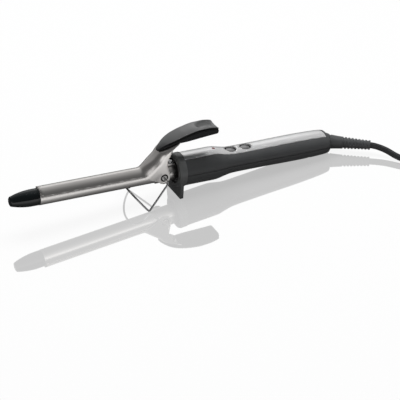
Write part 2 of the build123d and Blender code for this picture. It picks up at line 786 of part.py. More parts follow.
with BuildPart() as socket:
    with Locations(place(ball_station)):
        Sphere(BALL_RADIUS + BALL_GAP)
    with BuildSketch(across(bulkhead)):
        Circle(CORD_RADIUS + CORD_GAP)
    extrude(amount=ball_station - bulkhead)

with BuildPart() as cover_seat:
    seat_side = COVER_HALF_WIDTH + COVER_GAP
    add(block((GUARD_FRONT, -seat_side, 0), (cover_back + COVER_GAP, seat_side, REACH)))
    add(handle_half(COVER_THICKNESS + COVER_GAP, 1), mode=Mode.SUBTRACT)

with BuildPart() as lower_bosses:
    for station, side in screw_places:
        add(upright(station, side, -handle_high, 0, LOWER_BOSS_RADIUS))
    for station in board_screw_stations:
        add(upright(station, 0, -handle_high, BOARD_BOTTOM, BOARD_POST_RADIUS))
    add(handle_half(HOUSING_WALL - BOSS_BITE, -1), mode=Mode.INTERSECT)

with BuildPart() as upper_bosses:
    for station, side in screw_places:
        add(upright(station, side, 0, handle_high, UPPER_BOSS_RADIUS))
    for station in button_stations:
        add(upright(station, 0, ring_bottom, handle_high, ring_radius + BUTTON_RING_WALL))
    add(handle_half(HOUSING_WALL - BOSS_BITE, 1), mode=Mode.INTERSECT)

with BuildPart() as lower_housing:
    add(half_shell(-1))
    add(lower_bosses.part)
    for station, side in screw_places:
        add(
            upright(station, side, -handle_high, SCREW_SEAT, SCREW_HEAD_RADIUS + SCREW_CLEARANCE),
            mode=Mode.SUBTRACT,
        )
        add(upright(station, side, SCREW_SEAT, 0, SCREW_RADIUS + SCREW_CLEARANCE), mode=Mode.SUBTRACT)
    for station in board_screw_stations:
        add(
            upright(station, 0, BOARD_TOP - BOARD_SCREW_DEPTH, BOARD_TOP, BOARD_SCREW_RADIUS),
            mode=Mode.SUBTRACT,
        )
    split(bisect_by=Plane.XY, keep=Keep.TOP)
save(lower_housing, "lower_housing")

with BuildPart() as upper_housing:
    add(half_shell(1))
    add(cover_seat.part, mode=Mode.SUBTRACT)
    add(upper_bosses.part)
    for station, side in screw_places:
        add(upright(station, side, 0, SCREW_TOP, SCREW_RADIUS), mode=Mode.SUBTRACT)
    for station in button_stations:
        add(upright(station, 0, 0, handle_high, ring_radius), mode=Mode.SUBTRACT)
    add(upright(lens_station, 0, 0, handle_high, LENS_RADIUS + RUNNING_GAP), mode=Mode.SUBTRACT)
save(upper_housing, "upper_housing")

# Silver cover strip along the top
with BuildPart() as top_cover:
    add(handle_half(0, 1))
    add(handle_half(COVER_THICKNESS, 1), mode=Mode.SUBTRACT)
    add(
        block((HANDLE_FRONT, -COVER_HALF_WIDTH, 0), (cover_back, COVER_HALF_WIDTH, handle_high)),
        mode=Mode.INTERSECT,
    )
    for station in button_stations:
        add(upright(station, 0, 0, handle_high, ring_radius), mode=Mode.SUBTRACT)
    add(upright(lens_station, 0, 0, handle_high, LENS_RADIUS + RUNNING_GAP), mode=Mode.SUBTRACT)
save(top_cover, "top_cover")

# Screws that join the housings, from below
with BuildPart() as housing_screws:
    for station, side in screw_places:
        add(upright(station, side, SCREW_SEAT - SCREW_HEAD_HEIGHT, SCREW_SEAT, SCREW_HEAD_RADIUS))
        add(upright(station, side, SCREW_SEAT, SCREW_TOP, SCREW_RADIUS))
save(housing_screws, "housing_screws")

# Circuit board on its posts, with two switches, a chip, a capacitor and the LED
with BuildPart() as circuit_board:
    add(
        block(
            (board_front, -BOARD_WIDTH / 2, BOARD_BOTTOM), (board_back, BOARD_WIDTH / 2, BOARD_TOP)
        )
    )
    for station in board_screw_stations:
        add(
            upright(station, 0, BOARD_BOTTOM, BOARD_TOP, BOARD_SCREW_RADIUS + SCREW_CLEARANCE),
            mode=Mode.SUBTRACT,
        )
save(circuit_board, "circuit_board")

with BuildPart() as board_screws:
    for station in board_screw_stations:
        add(upright(station, 0, BOARD_TOP, BOARD_TOP + BOARD_SCREW_HEAD_HEIGHT, BOARD_SCREW_HEAD))
        add(upright(station, 0, BOARD_TOP - BOARD_SCREW_DEPTH, BOARD_TOP, BOARD_SCREW_RADIUS))
save(board_screws, "board_screws")

with BuildPart() as button_switches:
    for station in button_stations:
        half = SWITCH_WIDTH / 2
        add(block((station - half, -half, BOARD_TOP), (station + half, half, SWITCH_TOP)))
        add(upright(station, 0, SWITCH_TOP, PLUNGER_TOP, PLUNGER_RADIUS))
save(button_switches, "button_switches")

with BuildPart() as control_chip:
    long, wide, high = CHIP_SIZE
    add(
        block(
            (chip_station - long / 2, -wide / 2, BOARD_BOTTOM - high),
            (chip_station + long / 2, wide / 2, BOARD_BOTTOM),
        )
    )
save(control_chip, "control_chip")

with BuildPart() as supply_capacitor:
    with BuildSketch(across(capacitor_station)):
        with Locations((0, BOARD_BOTTOM - CAPACITOR_RADIUS)):
            Circle(CAPACITOR_RADIUS)
    extrude(amount=CAPACITOR_LENGTH)
save(supply_capacitor, "supply_capacitor")

with BuildPart() as indicator_led:
    add(upright(lens_station, 0, BOARD_TOP, BOARD_TOP + LED_HEIGHT - LED_RADIUS, LED_RADIUS))
    with Locations(place(lens_station, BOARD_TOP + LED_HEIGHT - LED_RADIUS)):
        Sphere(LED_RADIUS)
save(indicator_led, "indicator_led")

lens_top = half_height(lens_station) + LENS_PROUD
with BuildPart() as indicator_lens:
    add(upright(lens_station, 0, LENS_BOTTOM, lens_top, LENS_RADIUS))
save(indicator_lens, "indicator_lens")


def push_button(name, station):
    """Dished round button with a flange that keeps it in the housing."""
    flange_bottom = BUTTON_FLANGE_TOP - BUTTON_FLANGE_THICKNESS
    dish_radius = (BUTTON_RADIUS**2 + BUTTON_DISH**2) / (2 * BUTTON_DISH)
    with BuildPart() as button:
        add(upright(station, 0, flange_bottom, BUTTON_TOP, BUTTON_RADIUS))
        add(upright(station, 0, flange_bottom, BUTTON_FLANGE_TOP, BUTTON_FLANGE_RADIUS))
        add(upright(station, 0, BUTTON_STEM_BOTTOM, flange_bottom, BUTTON_STEM_RADIUS))
        with Locations(place(station, BUTTON_TOP - BUTTON_DISH + dish_radius)):
            Sphere(dish_radius, mode=Mode.SUBTRACT)
    save(button, name)


push_button("front_button", button_stations[0])
push_button("rear_button", button_stations[1])

# Cord clamp and the lead's inner end, from the clamp to the ball
clamp_front = clamp_station - CLAMP_LENGTH / 2
clamp_back = clamp_station + CLAMP_LENGTH / 2
with BuildPart() as cord_clamp:
    add(block((clamp_front, -CLAMP_HALF_WIDTH, -handle_high), (clamp_back, CLAMP_HALF_WIDTH, 0)))
    add(handle_half(HOUSING_WALL, -1), mode=Mode.INTERSECT)
    add(block((clamp_front, -CLAMP_HALF_WIDTH, 0), (clamp_back, CLAMP_HALF_WIDTH, CLAMP_TOP)))
    with BuildSketch(across(clamp_station - CLAMP_LENGTH)):
        Circle(CORD_RADIUS)
    extrude(amount=2 * CLAMP_LENGTH, mode=Mode.SUBTRACT)
save(cord_clamp, "cord_clamp")

with BuildPart() as inner_cord:
    with BuildSketch(across(inner_cord_front)):
        Circle(CORD_RADIUS)
    extrude(amount=ball_station - BALL_RADIUS - BALL_GAP - inner_cord_front)
save(inner_cord, "inner_cord")

# The lead's two cores, round the screw boss to the board
with BuildPart() as supply_leads:
    for side in (1, -1):
        with BuildLine(level(0)) as core:
            FilletPolyline(
                (board_back + RUNNING_GAP, side * CORE_SPREAD),
                (core_bend, side * CORE_SPREAD),
                (core_bend + CORE_SPREAD, side * CORE_OFFSET),
                (inner_cord_front, side * CORE_OFFSET),
                radius=CORE_BEND,
            )
        with BuildSketch(Plane(origin=place(board_back + RUNNING_GAP, 0, side * CORE_SPREAD), z_dir=along)):
            Circle(LEAD_RADIUS)
        sweep(path=core.wires()[0])
save(supply_leads, "supply_leads")

# Ball swivel with its ribbed boot, turned about the ball's centre
boot_dir = Vector(
    cos(radians(BOOT_SWING)) * cos(radians(BOOT_DROOP)),
    -sin(radians(BOOT_SWING)) * cos(radians(BOOT_DROOP)),
    -sin(radians(BOOT_DROOP)),
)
ball_center = place(ball_station)
boot_side = boot_dir.cross(Vector(0, 0, 1))
boot_plane = Plane(origin=ball_center, x_dir=boot_dir, z_dir=boot_side)
neck_start = sqrt(BALL_RADIUS**2 - BOOT_NECK_RADIUS**2)
rib_pitch = (BOOT_END - BOOT_PLAIN_END) / BOOT_RIBS
bore_radius = CORD_RADIUS + CORD_GAP


def boot_radius(reach):
    """Outer radius of the boot at a distance from the ball's centre."""
    share = (reach - BOOT_BASE) / (BOOT_END - BOOT_BASE)
    return BOOT_BASE_RADIUS + share * (BOOT_END_RADIUS - BOOT_BASE_RADIUS)


boot_outline = [(neck_start, BOOT_NECK_RADIUS), (BOOT_BASE, BOOT_NECK_RADIUS), (BOOT_BASE, BOOT_BASE_RADIUS)]
for rib in range(BOOT_RIBS):
    groove = BOOT_PLAIN_END + rib * rib_pitch
    groove_end = groove + BOOT_GROOVE_WIDTH
    floor = boot_radius(groove) - BOOT_GROOVE_DEPTH
    boot_outline += [
        (groove, boot_radius(groove)),
        (groove, floor),
        (groove_end, floor),
        (groove_end, boot_radius(groove_end)),
    ]
boot_outline += [
    (BOOT_END, BOOT_END_RADIUS),
    (BOOT_END, bore_radius),
    (BOOT_BORE_START, bore_radius),
    (BOOT_BORE_START, 0),
    (-BALL_RADIUS, 0),
]
with BuildPart() as swivel_boot:
    with BuildSketch(boot_plane):
        with BuildLine():
            Polyline(boot_outline)
            ThreePointArc(
                (-BALL_RADIUS, 0),
                (0, BALL_RADIUS),
                (neck_start, BOOT_NECK_RADIUS),
            )
        make_face()
    revolve(axis=Axis(ball_center, boot_dir))
save(swivel_boot, "swivel_boot")


def bend_radii(points):
    """Largest even bends that the runs of a route allow."""
    radii = []
    for before, here, after in zip(points, points[1:], points[2:]):
        arriving = Vector(here) - Vector(before)
        leaving = Vector(after) - Vector(here)
        half_turn = radians(arriving.get_angle(leaving)) / 2
        radii.append(BEND_SHARE * min(arriving.length, leaving.length) / tan(half_turn))
    return radii


def cord_tube(name, points):
    """Round lead along straight runs and the bends between them."""
    radii = bend_radii(points)
    with BuildPart() as tube:
        with BuildLine() as route:
            FilletPolyline(points, radius=radii)
        start = Vector(points[1]) - Vector(points[0])
        with BuildSketch(Plane(origin=points[0], z_dir=start)):
            Circle(CORD_RADIUS)
        sweep(path=route.wires()[0])
    save(tube, name)
    length = route.wires()[0].length
    drift = tube.part.volume / (pi * CORD_RADIUS**2 * length) - 1
    print(name, "bend radii", [round(radius, 1) for radius in radii])
    print(name, "length", round(length, 1), "volume drift", round(drift, 5))
    return length


# Mains lead: out of the boot, down to the floor and into the coil
boot_exit = [tuple(ball_center + boot_dir * reach) for reach in (CORD_START, CORD_STRAIGHT_END)]
lead_length = cord_tube("cord_lead", boot_exit + list(CORD_ROUTE))
end_length = cord_tube("cord_end", list(CORD_END_ROUTE))

# Coil of the put-away length
coil_mean_radius = COIL_INNER_RADIUS + COIL_WIDTH / 2
coil_plane = Plane(origin=(COIL_CENTER[0], COIL_CENTER[1], 0), x_dir=(1, 0, 0), z_dir=(0, -1, 0))
with BuildPart() as cord_coil:
    with BuildSketch(coil_plane):
        with Locations((coil_mean_radius, COIL_FLOOR + COIL_HEIGHT / 2)):
            RectangleRounded(COIL_WIDTH, COIL_HEIGHT, COIL_EDGE)
    revolve(axis=Axis(coil_plane.origin, (0, 0, 1)))
save(cord_coil, "cord_coil")
coil_length = 2 * pi * coil_mean_radius * COIL_TURNS
print("lead in all", round(lead_length + coil_length + end_length))

# Tie round the coil's turns
tie_dir = Vector(1, 0, 0).rotate(Axis.Z, TIE_ANGLE)
tie_origin = coil_plane.origin + tie_dir * coil_mean_radius + Vector(0, 0, COIL_FLOOR + COIL_HEIGHT / 2)
tie_plane = Plane(origin=tie_origin, x_dir=tie_dir, z_dir=tie_dir.cross(Vector(0, 0, 1)))
tie_bow = TIE_WIDTH**2 / (8 * COIL_INNER_RADIUS)
tie_inner = (COIL_WIDTH + 2 * (tie_bow + RUNNING_GAP), COIL_HEIGHT)
with BuildPart() as cord_tie:
    with BuildSketch(tie_plane):
        RectangleRounded(
            tie_inner[0] + 2 * TIE_THICKNESS, tie_inner[1] + 2 * TIE_THICKNESS, COIL_EDGE + TIE_THICKNESS
        )
        RectangleRounded(*tie_inner, COIL_EDGE, mode=Mode.SUBTRACT)
    extrude(amount=TIE_WIDTH / 2, both=True)
save(cord_tie, "cord_tie")

# Flat two-pin plug: relief, body and pins, along +Y
plug_plane = Plane(origin=PLUG_CENTER, x_dir=(1, 0, 0), z_dir=(0, 1, 0))
plug_face = PLUG_RELIEF_LENGTH + PLUG_BODY_LENGTH
with BuildPart() as plug_body:
    with BuildSketch(Plane(origin=PLUG_CENTER, x_dir=(1, 0, 0), z_dir=(0, 0, 1))):
        with BuildLine():
            Polyline(
                (-PLUG_BACK_HALF_WIDTH, PLUG_RELIEF_LENGTH),
                (-PLUG_HALF_WIDTH, PLUG_RELIEF_LENGTH + PLUG_BODY_LENGTH / 2),
                (-PLUG_HALF_WIDTH, plug_face),
                (PLUG_HALF_WIDTH, plug_face),
                (PLUG_HALF_WIDTH, PLUG_RELIEF_LENGTH + PLUG_BODY_LENGTH / 2),
                (PLUG_BACK_HALF_WIDTH, PLUG_RELIEF_LENGTH),
                close=True,
            )
        make_face()
    extrude(amount=PLUG_HALF_THICKNESS, both=True)
    fillet(plug_body.edges(), PLUG_EDGE)
    with BuildSketch(plug_plane):
        Circle(PLUG_RELIEF_RADIUS)
    with BuildSketch(plug_plane.offset(PLUG_RELIEF_LENGTH + PLUG_EDGE)):
        Circle(PLUG_HALF_THICKNESS - PLUG_EDGE / 2)
    loft()
    with BuildSketch(plug_plane.offset(plug_face - PIN_ROOT)):
        with GridLocations(PIN_SPACING, 0, 2, 1):
            Circle(PIN_SLEEVE_RADIUS)
    extrude(amount=PIN_ROOT, mode=Mode.SUBTRACT)
save(plug_body, "plug_body")

with BuildPart() as plug_pins:
    with BuildSketch(plug_plane.offset(plug_face - PIN_ROOT)):
        with GridLocations(PIN_SPACING, 0, 2, 1):
            Circle(PIN_SLEEVE_RADIUS)
    extrude(amount=PIN_ROOT + PIN_SLEEVE_LENGTH)
    with BuildSketch(plug_plane.offset(plug_face + PIN_SLEEVE_LENGTH)):
        with GridLocations(PIN_SPACING, 0, 2, 1):
            Circle(PIN_RADIUS)
    extrude(amount=PIN_LENGTH - PIN_SLEEVE_LENGTH)
    chamfer(plug_pins.faces().group_by(Axis.Y)[-1].edges(), PIN_TIP_CHAMFER)
save(plug_pins, "plug_pins")
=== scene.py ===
import json
from math import acos, cos, pi, radians, sin, sqrt

import bmesh
import bpy
from mathutils import Matrix, Vector


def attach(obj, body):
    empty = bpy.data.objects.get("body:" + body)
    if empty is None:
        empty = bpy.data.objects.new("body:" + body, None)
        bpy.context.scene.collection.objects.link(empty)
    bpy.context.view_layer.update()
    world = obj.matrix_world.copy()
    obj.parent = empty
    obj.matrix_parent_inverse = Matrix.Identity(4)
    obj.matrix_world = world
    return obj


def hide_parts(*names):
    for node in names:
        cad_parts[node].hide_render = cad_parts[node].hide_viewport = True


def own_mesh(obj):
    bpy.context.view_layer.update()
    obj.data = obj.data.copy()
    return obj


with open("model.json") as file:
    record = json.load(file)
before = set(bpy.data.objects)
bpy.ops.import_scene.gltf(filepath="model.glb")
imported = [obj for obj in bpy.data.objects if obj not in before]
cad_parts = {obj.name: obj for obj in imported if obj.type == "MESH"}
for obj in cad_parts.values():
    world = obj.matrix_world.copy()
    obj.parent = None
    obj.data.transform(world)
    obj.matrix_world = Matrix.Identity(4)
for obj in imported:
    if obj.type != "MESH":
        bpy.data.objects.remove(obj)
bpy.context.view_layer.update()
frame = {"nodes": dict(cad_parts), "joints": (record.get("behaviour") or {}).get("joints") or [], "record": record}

bl_info = {
    "name": "Curling iron",
    "version": (1, 0, 0),
    "blender": (4, 5, 0),
    "location": "View3D > Sidebar > Curling iron",
    "description": "Dresses the packed curling iron with detailed pieces, finishes and a studio",
    "category": "Object",
}

MM = 0.001
# Radius at which a turned piece closes on its axis, in millimetres
POLE = 0.02
# Angle between faces, in degrees, from which an edge is shown sharp
SHARP = 38
# Rounding of small screws, in millimetres
SCREW_EDGE = 0.25
# Finishes by material slot, made before the pieces
FINISHES = {}

# The iron's own frame: stations along its axis, side offsets, heights above the axis, in millimetres
JOINTS = {joint["name"]: joint for joint in frame["joints"]}
UPWARD = -Vector(JOINTS["front_button_press"]["axis"])
ALONG = Vector((UPWARD.z, 0, -UPWARD.x))
SIDE = Vector((0, 1, 0))
PIVOT_STATION = -5.5
PIVOT = Vector(JOINTS["clip_hinge"]["pos_m"]) / MM
AXIS_START = PIVOT - ALONG * PIVOT_STATION
BALL = Vector(JOINTS["boot_swivel"]["pos_m"]) / MM
BOOT_ALONG = Vector(JOINTS["boot_swivel"]["axis"]).normalized()

HANDLE_FRONT = 15.5
HANDLE_BACK = 169.3
# Handle sections: station, half width, half height
HANDLE_SECTIONS = (
    (15.5, 15.7, 15.7),
    (46.5, 15.7, 15.7),
    (50.5, 15.5, 15.3),
    (54.5, 15.0, 14.3),
    (58.5, 14.5, 13.3),
    (62.5, 14.15, 12.4),
    (67.5, 14.0, 11.9),
    (75.5, 14.0, 11.75),
    (100.5, 14.2, 11.75),
    (120.5, 14.45, 11.95),
    (135.5, 14.6, 12.0),
    (149.5, 14.5, 11.8),
    (160.5, 14.2, 11.4),
    (165.5, 13.8, 11.05),
    (169.5, 13.1, 10.5),
    (172.5, 12.2, 9.8),
)
BUTTON_STATIONS = (66.7, 82.2)
LENS_STATION = 48.6


def at(station, side, height):
    """World point, in metres, of a place in the iron's own frame."""
    return (AXIS_START + ALONG * station + SIDE * side + UPWARD * height) * MM


def smooth_between(table, x, column):
    """Monotone smooth reading of a table of sections."""
    xs = [row[0] for row in table]
    ys = [row[column] for row in table]
    x = min(max(x, xs[0]), xs[-1])
    slopes = [(b - a) / (d - c) for a, b, c, d in zip(ys, ys[1:], xs, xs[1:])]
    tangents = [slopes[0]]
    for left, right in zip(slopes, slopes[1:]):
        tangents.append(0 if left * right <= 0 else 2 * left * right / (left + right))
    tangents.append(slopes[-1])
    i = max(k for k in range(len(xs) - 1) if xs[k] <= x)
    step = xs[i + 1] - xs[i]
    t = (x - xs[i]) / step
    return (
        ys[i] * (1 + 2 * t) * (1 - t) ** 2
        + tangents[i] * step * t * (1 - t) ** 2
        + ys[i + 1] * t * t * (3 - 2 * t)
        - tangents[i + 1] * step * t * t * (1 - t)
    )


def handle_half(station):
    """Half width and half height of the handle at a station."""
    return smooth_between(HANDLE_SECTIONS, station, 1), smooth_between(HANDLE_SECTIONS, station, 2)


def ease(low, high, x):
    """Smooth step from 0 at low to 1 at high."""
    t = min(max((x - low) / (high - low), 0.0), 1.0)
    return t * t * (3 - 2 * t)


def span(low, high, count):
    """Evenly spaced numbers from low to high."""
    return [low + (high - low) * i / (count - 1) for i in range(count)]


def rounded(corners, steps=5):
    """Flat outline from (x, y, radius) corners, each corner with a radius turned into an arc."""
    points = []
    count = len(corners)
    for i, (x, y, radius) in enumerate(corners):
        here = Vector((x, y))
        if radius <= 0:
            points.append(here)
            continue
        before = (Vector(corners[i - 1][:2]) - here).normalized()
        after = (Vector(corners[(i + 1) % count][:2]) - here).normalized()
        half = acos(max(-1, min(1, before.dot(after)))) / 2
        reach = radius / max(sin(half) / cos(half), 1e-6)
        start = here + before * reach
        end = here + after * reach
        middle = here + (before + after).normalized() * (radius / sin(half))
        first = start - middle
        last = end - middle
        turn = first.angle_signed(last)
        for k in range(steps + 1):
            arm = first.copy()
            arm.rotate(Matrix.Rotation(-turn * k / steps, 2))
            points.append(middle + arm)
    return points


def skin(rings, loop=False):
    """Vertices and faces of a surface through closed rings of points, capped unless it closes on itself."""
    count = len(rings[0])
    verts = [point for ring in rings for point in ring]
    faces = []
    pairs = list(zip(range(len(rings)), range(1, len(rings))))
    if loop:
        pairs.append((len(rings) - 1, 0))
    for a, b in pairs:
        for k in range(count):
            n = (k + 1) % count
            faces.append((a * count + k, a * count + n, b * count + n, b * count + k))
    if not loop:
        faces.append(tuple(reversed(range(count))))
        faces.append(tuple(range((len(rings) - 1) * count, len(rings) * count)))
    return verts, faces


def turned(outline, start, axis, across, steps, loop=False):
    """Shape of an outline of (reach, radius) points turned about an axis."""
    other = axis.cross(across)
    rings = []
    for reach, radius in outline:
        middle = start + axis * reach
        ring = []
        for k in range(steps):
            angle = 2 * pi * k / steps
            ring.append((middle + (across * cos(angle) + other * sin(angle)) * radius) * MM)
        rings.append(ring)
    return skin(rings, loop)


def post(station, side, low, high, radius, steps=48):
    """Round post along the iron's upward direction, as a shape."""
    start = AXIS_START + ALONG * station + SIDE * side
    return turned(((low, radius), (high, radius)), start, UPWARD, ALONG, steps)


def merge(*parts):
    """Several vertex and face lists as one."""
    verts, faces = [], []
    for part_verts, part_faces in parts:
        shift = len(verts)
        verts += part_verts
        faces += [tuple(i + shift for i in face) for face in part_faces]
    return verts, faces


def shaped_mesh(name, shape):
    """Mesh of a shape, with its faces turned outward."""
    verts, faces = shape
    mesh = bpy.data.meshes.new(name)
    mesh.from_pydata([tuple(v) for v in verts], [], faces)
    work = bmesh.new()
    work.from_mesh(mesh)
    bmesh.ops.remove_doubles(work, verts=work.verts, dist=1e-7)
    bmesh.ops.recalc_face_normals(work, faces=work.faces)
    work.to_mesh(mesh)
    work.free()
    mesh.update()
    return mesh


def put_in_scene(name, data):
    """New object of the scene."""
    thing = bpy.data.objects.new(name, data)
    bpy.context.scene.collection.objects.link(thing)
    return thing


def shade(mesh, sharp):
    """Smooth shading, with edges shown sharp from an angle in degrees."""
    mesh.shade_smooth()
    mesh.set_sharp_from_angle(angle=radians(sharp))


def settle(piece, body, slot, replaces=()):
    """Gives a new piece its body and the finish of its slot, and hides the CAD nodes that it stands for."""
    piece.data.materials.clear()
    piece.data.materials.append(FINISHES[slot])
    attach(piece, body)
    if replaces:
        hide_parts(*replaces)


def mesh_piece(name, shape, body, slot, replaces=(), sharp=SHARP):
    """Object from vertices and faces that rides on a body and stands for CAD nodes."""
    mesh = shaped_mesh(name, shape)
    shade(mesh, sharp)
    piece = put_in_scene(name, mesh)
    settle(piece, body, slot, replaces)
    return piece


def apply_modifiers(piece):
    """Turns a piece's modifiers into its own mesh."""
    bpy.context.view_layer.update()
    shown = piece.evaluated_get(bpy.context.evaluated_depsgraph_get())
    mesh = bpy.data.meshes.new_from_object(shown)
    piece.modifiers.clear()
    piece.data = mesh


def cut(piece, *tools):
    """Takes tool shapes out of a piece."""
    for shape in tools:
        mesh = shaped_mesh("cutter", shape)
        tool = put_in_scene("cutter", mesh)
        modifier = piece.modifiers.new("cut", "BOOLEAN")
        modifier.operation = "DIFFERENCE"
        modifier.solver = "EXACT"
        modifier.object = tool
        apply_modifiers(piece)
        bpy.data.objects.remove(tool)
        bpy.data.meshes.remove(mesh)


def round_edges(piece, width, segments, angle):
    """Adds a bevel, in millimetres, on edges that are sharper than an angle in degrees."""
    modifier = piece.modifiers.new("rounded edges", "BEVEL")
    modifier.width = width * MM
    modifier.segments = segments
    modifier.limit_method = "ANGLE"
    modifier.angle_limit = radians(angle)
    modifier.harden_normals = True


def soften(piece, width, segments, angle, sharp):
    """Rounds the edges of a new piece in its own mesh."""
    round_edges(piece, width, segments, angle)
    apply_modifiers(piece)
    shade(piece.data, sharp)


def cord_line(name, points, radius, steps=8, sides=6):
    """Round cord on one smooth spline along its control points, in metres."""
    curve = bpy.data.curves.new(name, "CURVE")
    curve.dimensions = "3D"
    spline = curve.splines.new("NURBS")
    spline.points.add(len(points) - 1)
    for point, place in zip(spline.points, points):
        point.co = (*place, 1.0)
    spline.order_u = 3
    spline.use_endpoint_u = True
    spline.resolution_u = steps
    curve.bevel_depth = radius
    curve.bevel_resolution = sides
    curve.use_fill_caps = True
    return put_in_scene(name, curve)


class Value:
    """A shader number: arithmetic on it adds Math nodes."""

    def __init__(self, nodes, socket):
        self.nodes = nodes
        self.socket = socket

    def math(self, operation, first, second):
        """Math node of an operation."""
        return self.nodes.make("ShaderNodeMath", {"operation": operation}, first, second)

    def __add__(self, other):
        return self.math("ADD", self, other)

    def __radd__(self, other):
        return self.math("ADD", other, self)

    def __sub__(self, other):
        return self.math("SUBTRACT", self, other)

    def __rsub__(self, other):
        return self.math("SUBTRACT", other, self)

    def __mul__(self, other):
        return self.math("MULTIPLY", self, other)

    def __rmul__(self, other):
        return self.math("MULTIPLY", other, self)

    def __truediv__(self, other):
        return self.math("DIVIDE", self, other)

    def __rtruediv__(self, other):
        return self.math("DIVIDE", other, self)

    def __gt__(self, other):
        return self.math("GREATER_THAN", self, other)

    def clamped(self):
        """The value, kept between 0 and 1."""
        return self.nodes.make("ShaderNodeClamp", {}, self, 0.0, 1.0)


class Nodes:
    """Node tree of a finish or of the world."""

    def __init__(self, tree):
        self.tree = tree
        tree.nodes.clear()

    def make(self, kind, settings, *values, output=0, **named):
        """New node with its settings and its sockets' values or links; gives one of its outputs."""
        node = self.tree.nodes.new(kind)
        for key, value in settings.items():
            if key == "stops":
                stops = node.color_ramp.elements
                while len(stops) < len(value):
                    stops.new(0.5)
                for stop, (place, colour) in zip(stops, value):
                    stop.position = place
                    stop.color = colour
            else:
                setattr(node, key, value)
        for socket, value in zip(node.inputs, values):
            self.feed(socket, value)
        self.fill(node, **named)
        return Value(self, node.outputs[output])

    def fill(self, node, **values):
        """Sets or links sockets by their names, with _ for a space."""
        for name, value in values.items():
            self.feed(node.inputs[name.replace("_", " ")], value)

    def feed(self, socket, value):
        """Sets or links one socket."""
        if isinstance(value, Value):
            self.tree.links.new(value.socket, socket)
        elif value is not None:
            socket.default_value = value

    def end(self, kind, shader):
        """Output node of the tree."""
        self.tree.links.new(shader.socket, self.tree.nodes.new(kind).inputs[0])

    def place(self, stretch=(1, 1, 1)):
        """Object coordinates, stretched."""
        coordinates = self.make("ShaderNodeTexCoord", {}, output="Object")
        return self.make("ShaderNodeMapping", {}, coordinates, Scale=stretch)

    def coordinate(self, axis, kind="Object"):
        """One axis of the object's coordinates, of the normal or of a direction."""
        vector = self.make("ShaderNodeTexCoord", {}, output=kind)
        return self.make("ShaderNodeSeparateXYZ", {}, vector, output=axis)

    def noise(self, scale, detail=3.0, stretch=(1, 1, 1)):
        """Noise value of a scale per metre."""
        return self.make("ShaderNodeTexNoise", {}, Vector=self.place(stretch), Scale=scale, Detail=detail)

    def smooth_range(self, value, low, high, top=1.0):
        """Smooth rise from 0 to a top while a value goes from low to high."""
        smooth = {"interpolation_type": "SMOOTHSTEP"}
        return self.make("ShaderNodeMapRange", smooth, value, low, high, 0.0, top)

    def mix(self, share, first, second):
        """Colour between two colours, which follow the node's sockets for numbers and vectors."""
        unused = [None] * 5
        return self.make("ShaderNodeMix", {"data_type": "RGBA"}, share, *unused, first, second, output=2)

    def blend(self, share, first, second):
        """Shader between two shaders."""
        return self.make("ShaderNodeMixShader", {}, share, first, second)

    def ramp(self, tones, value):
        """Grey by a value, from (place, brightness) pairs."""
        stops = [(place, (tone, tone, tone, 1.0)) for place, tone in tones]
        return self.make("ShaderNodeValToRGB", {"stops": stops}, value)

    def bump(self, height, strength, distance=0.0001):
        """Normal with a fine relief."""
        return self.make("ShaderNodeBump", {}, Strength=strength, Distance=distance, Height=height)


def opaque(colour):
    """Colour with full alpha."""
    return (*colour[:3], 1.0)


def shaded(colour, share):
    """Opaque colour, darker or lighter by a share."""
    return opaque([min(1.0, channel * share) for channel in colour[:3]])


def new_finish(name, colour, rough, **constants):
    """Material with a Principled shader; returns the material, its nodes and the shader node."""
    material = bpy.data.materials.new(name)
    material.use_nodes = True
    material.diffuse_color = opaque(colour)
    nodes = Nodes(material.node_tree)
    shader = nodes.make("ShaderNodeBsdfPrincipled", {}, opaque(colour), Roughness=rough, **constants)
    nodes.end("ShaderNodeOutputMaterial", shader)
    return material, nodes, shader.socket.node


def metal_finish(name, colour, rough, grain, spread, relief, streak=(1, 1, 1)):
    """Satin or bright metal with fine streaks and faint handling marks."""
    material, nodes, shader = new_finish(name, colour, rough, Metallic=1.0)
    streaks = nodes.noise(grain, 4.0, streak)
    marks = nodes.noise(45.0)
    tone = (marks * 0.5 + streaks * 0.5).clamped()
    nodes.fill(
        shader,
        Base_Color=nodes.mix(tone, shaded(colour, 0.9), shaded(colour, 1.08)),
        Roughness=rough - spread / 2 + streaks * spread * 0.6 + marks * spread * 0.4,
        Normal=nodes.bump(streaks, relief),
    )
    return material


def plastic_finish(name, colour, rough, grain, relief, spread, lift=1.25, sheen=0.0, **constants):
    """Moulded plastic: fine spark-eroded grain, a faint change of sheen, and painted sheen on upward faces: a coat
    that grows as a face turns up, so tops look lit.
    """
    material, nodes, shader = new_finish(name, colour, rough, **constants)
    # Painted sheen: the coat weight rises with the upward part of the object normal, so tops look lit and sides
    # stay dark.
    if sheen:
        nodes.fill(shader, Coat_Weight=nodes.smooth_range(nodes.coordinate("Z", "Normal"), 0.45, 0.9, sheen))
    fine = nodes.noise(grain, 2.0)
    broad = nodes.noise(60.0)
    tone = (broad * 0.6 + fine * 0.4).clamped()
    nodes.fill(
        shader,
        Base_Color=nodes.mix(tone, shaded(colour, 0.85), shaded(colour, lift)),
        Roughness=rough - spread / 2 + broad * spread,
        Normal=nodes.bump(fine, relief),
    )
    return material


def pearl_finish(name, colour, rough):
    """Silver lacquer with small flakes."""
    lacquer = {"Metallic": 0.93, "Coat_Weight": 0.25, "Coat_Roughness": 0.2}
    material, nodes, shader = new_finish(name, colour, rough, **lacquer)
    flakes = nodes.make("ShaderNodeTexVoronoi", {}, Vector=nodes.place(), Scale=5200.0, output="Color")
    grey = nodes.make("ShaderNodeSeparateColor", {}, flakes)
    broad = nodes.noise(50.0)
    tone = (grey * 0.6 + broad * 0.4).clamped()
    nodes.fill(
        shader,
        Base_Color=nodes.mix(tone, shaded(colour, 0.9), shaded(colour, 1.1)),
        Roughness=rough - 0.04 + broad * 0.08,
        Normal=nodes.bump(grey, 0.05, 0.00005),
    )
    return material


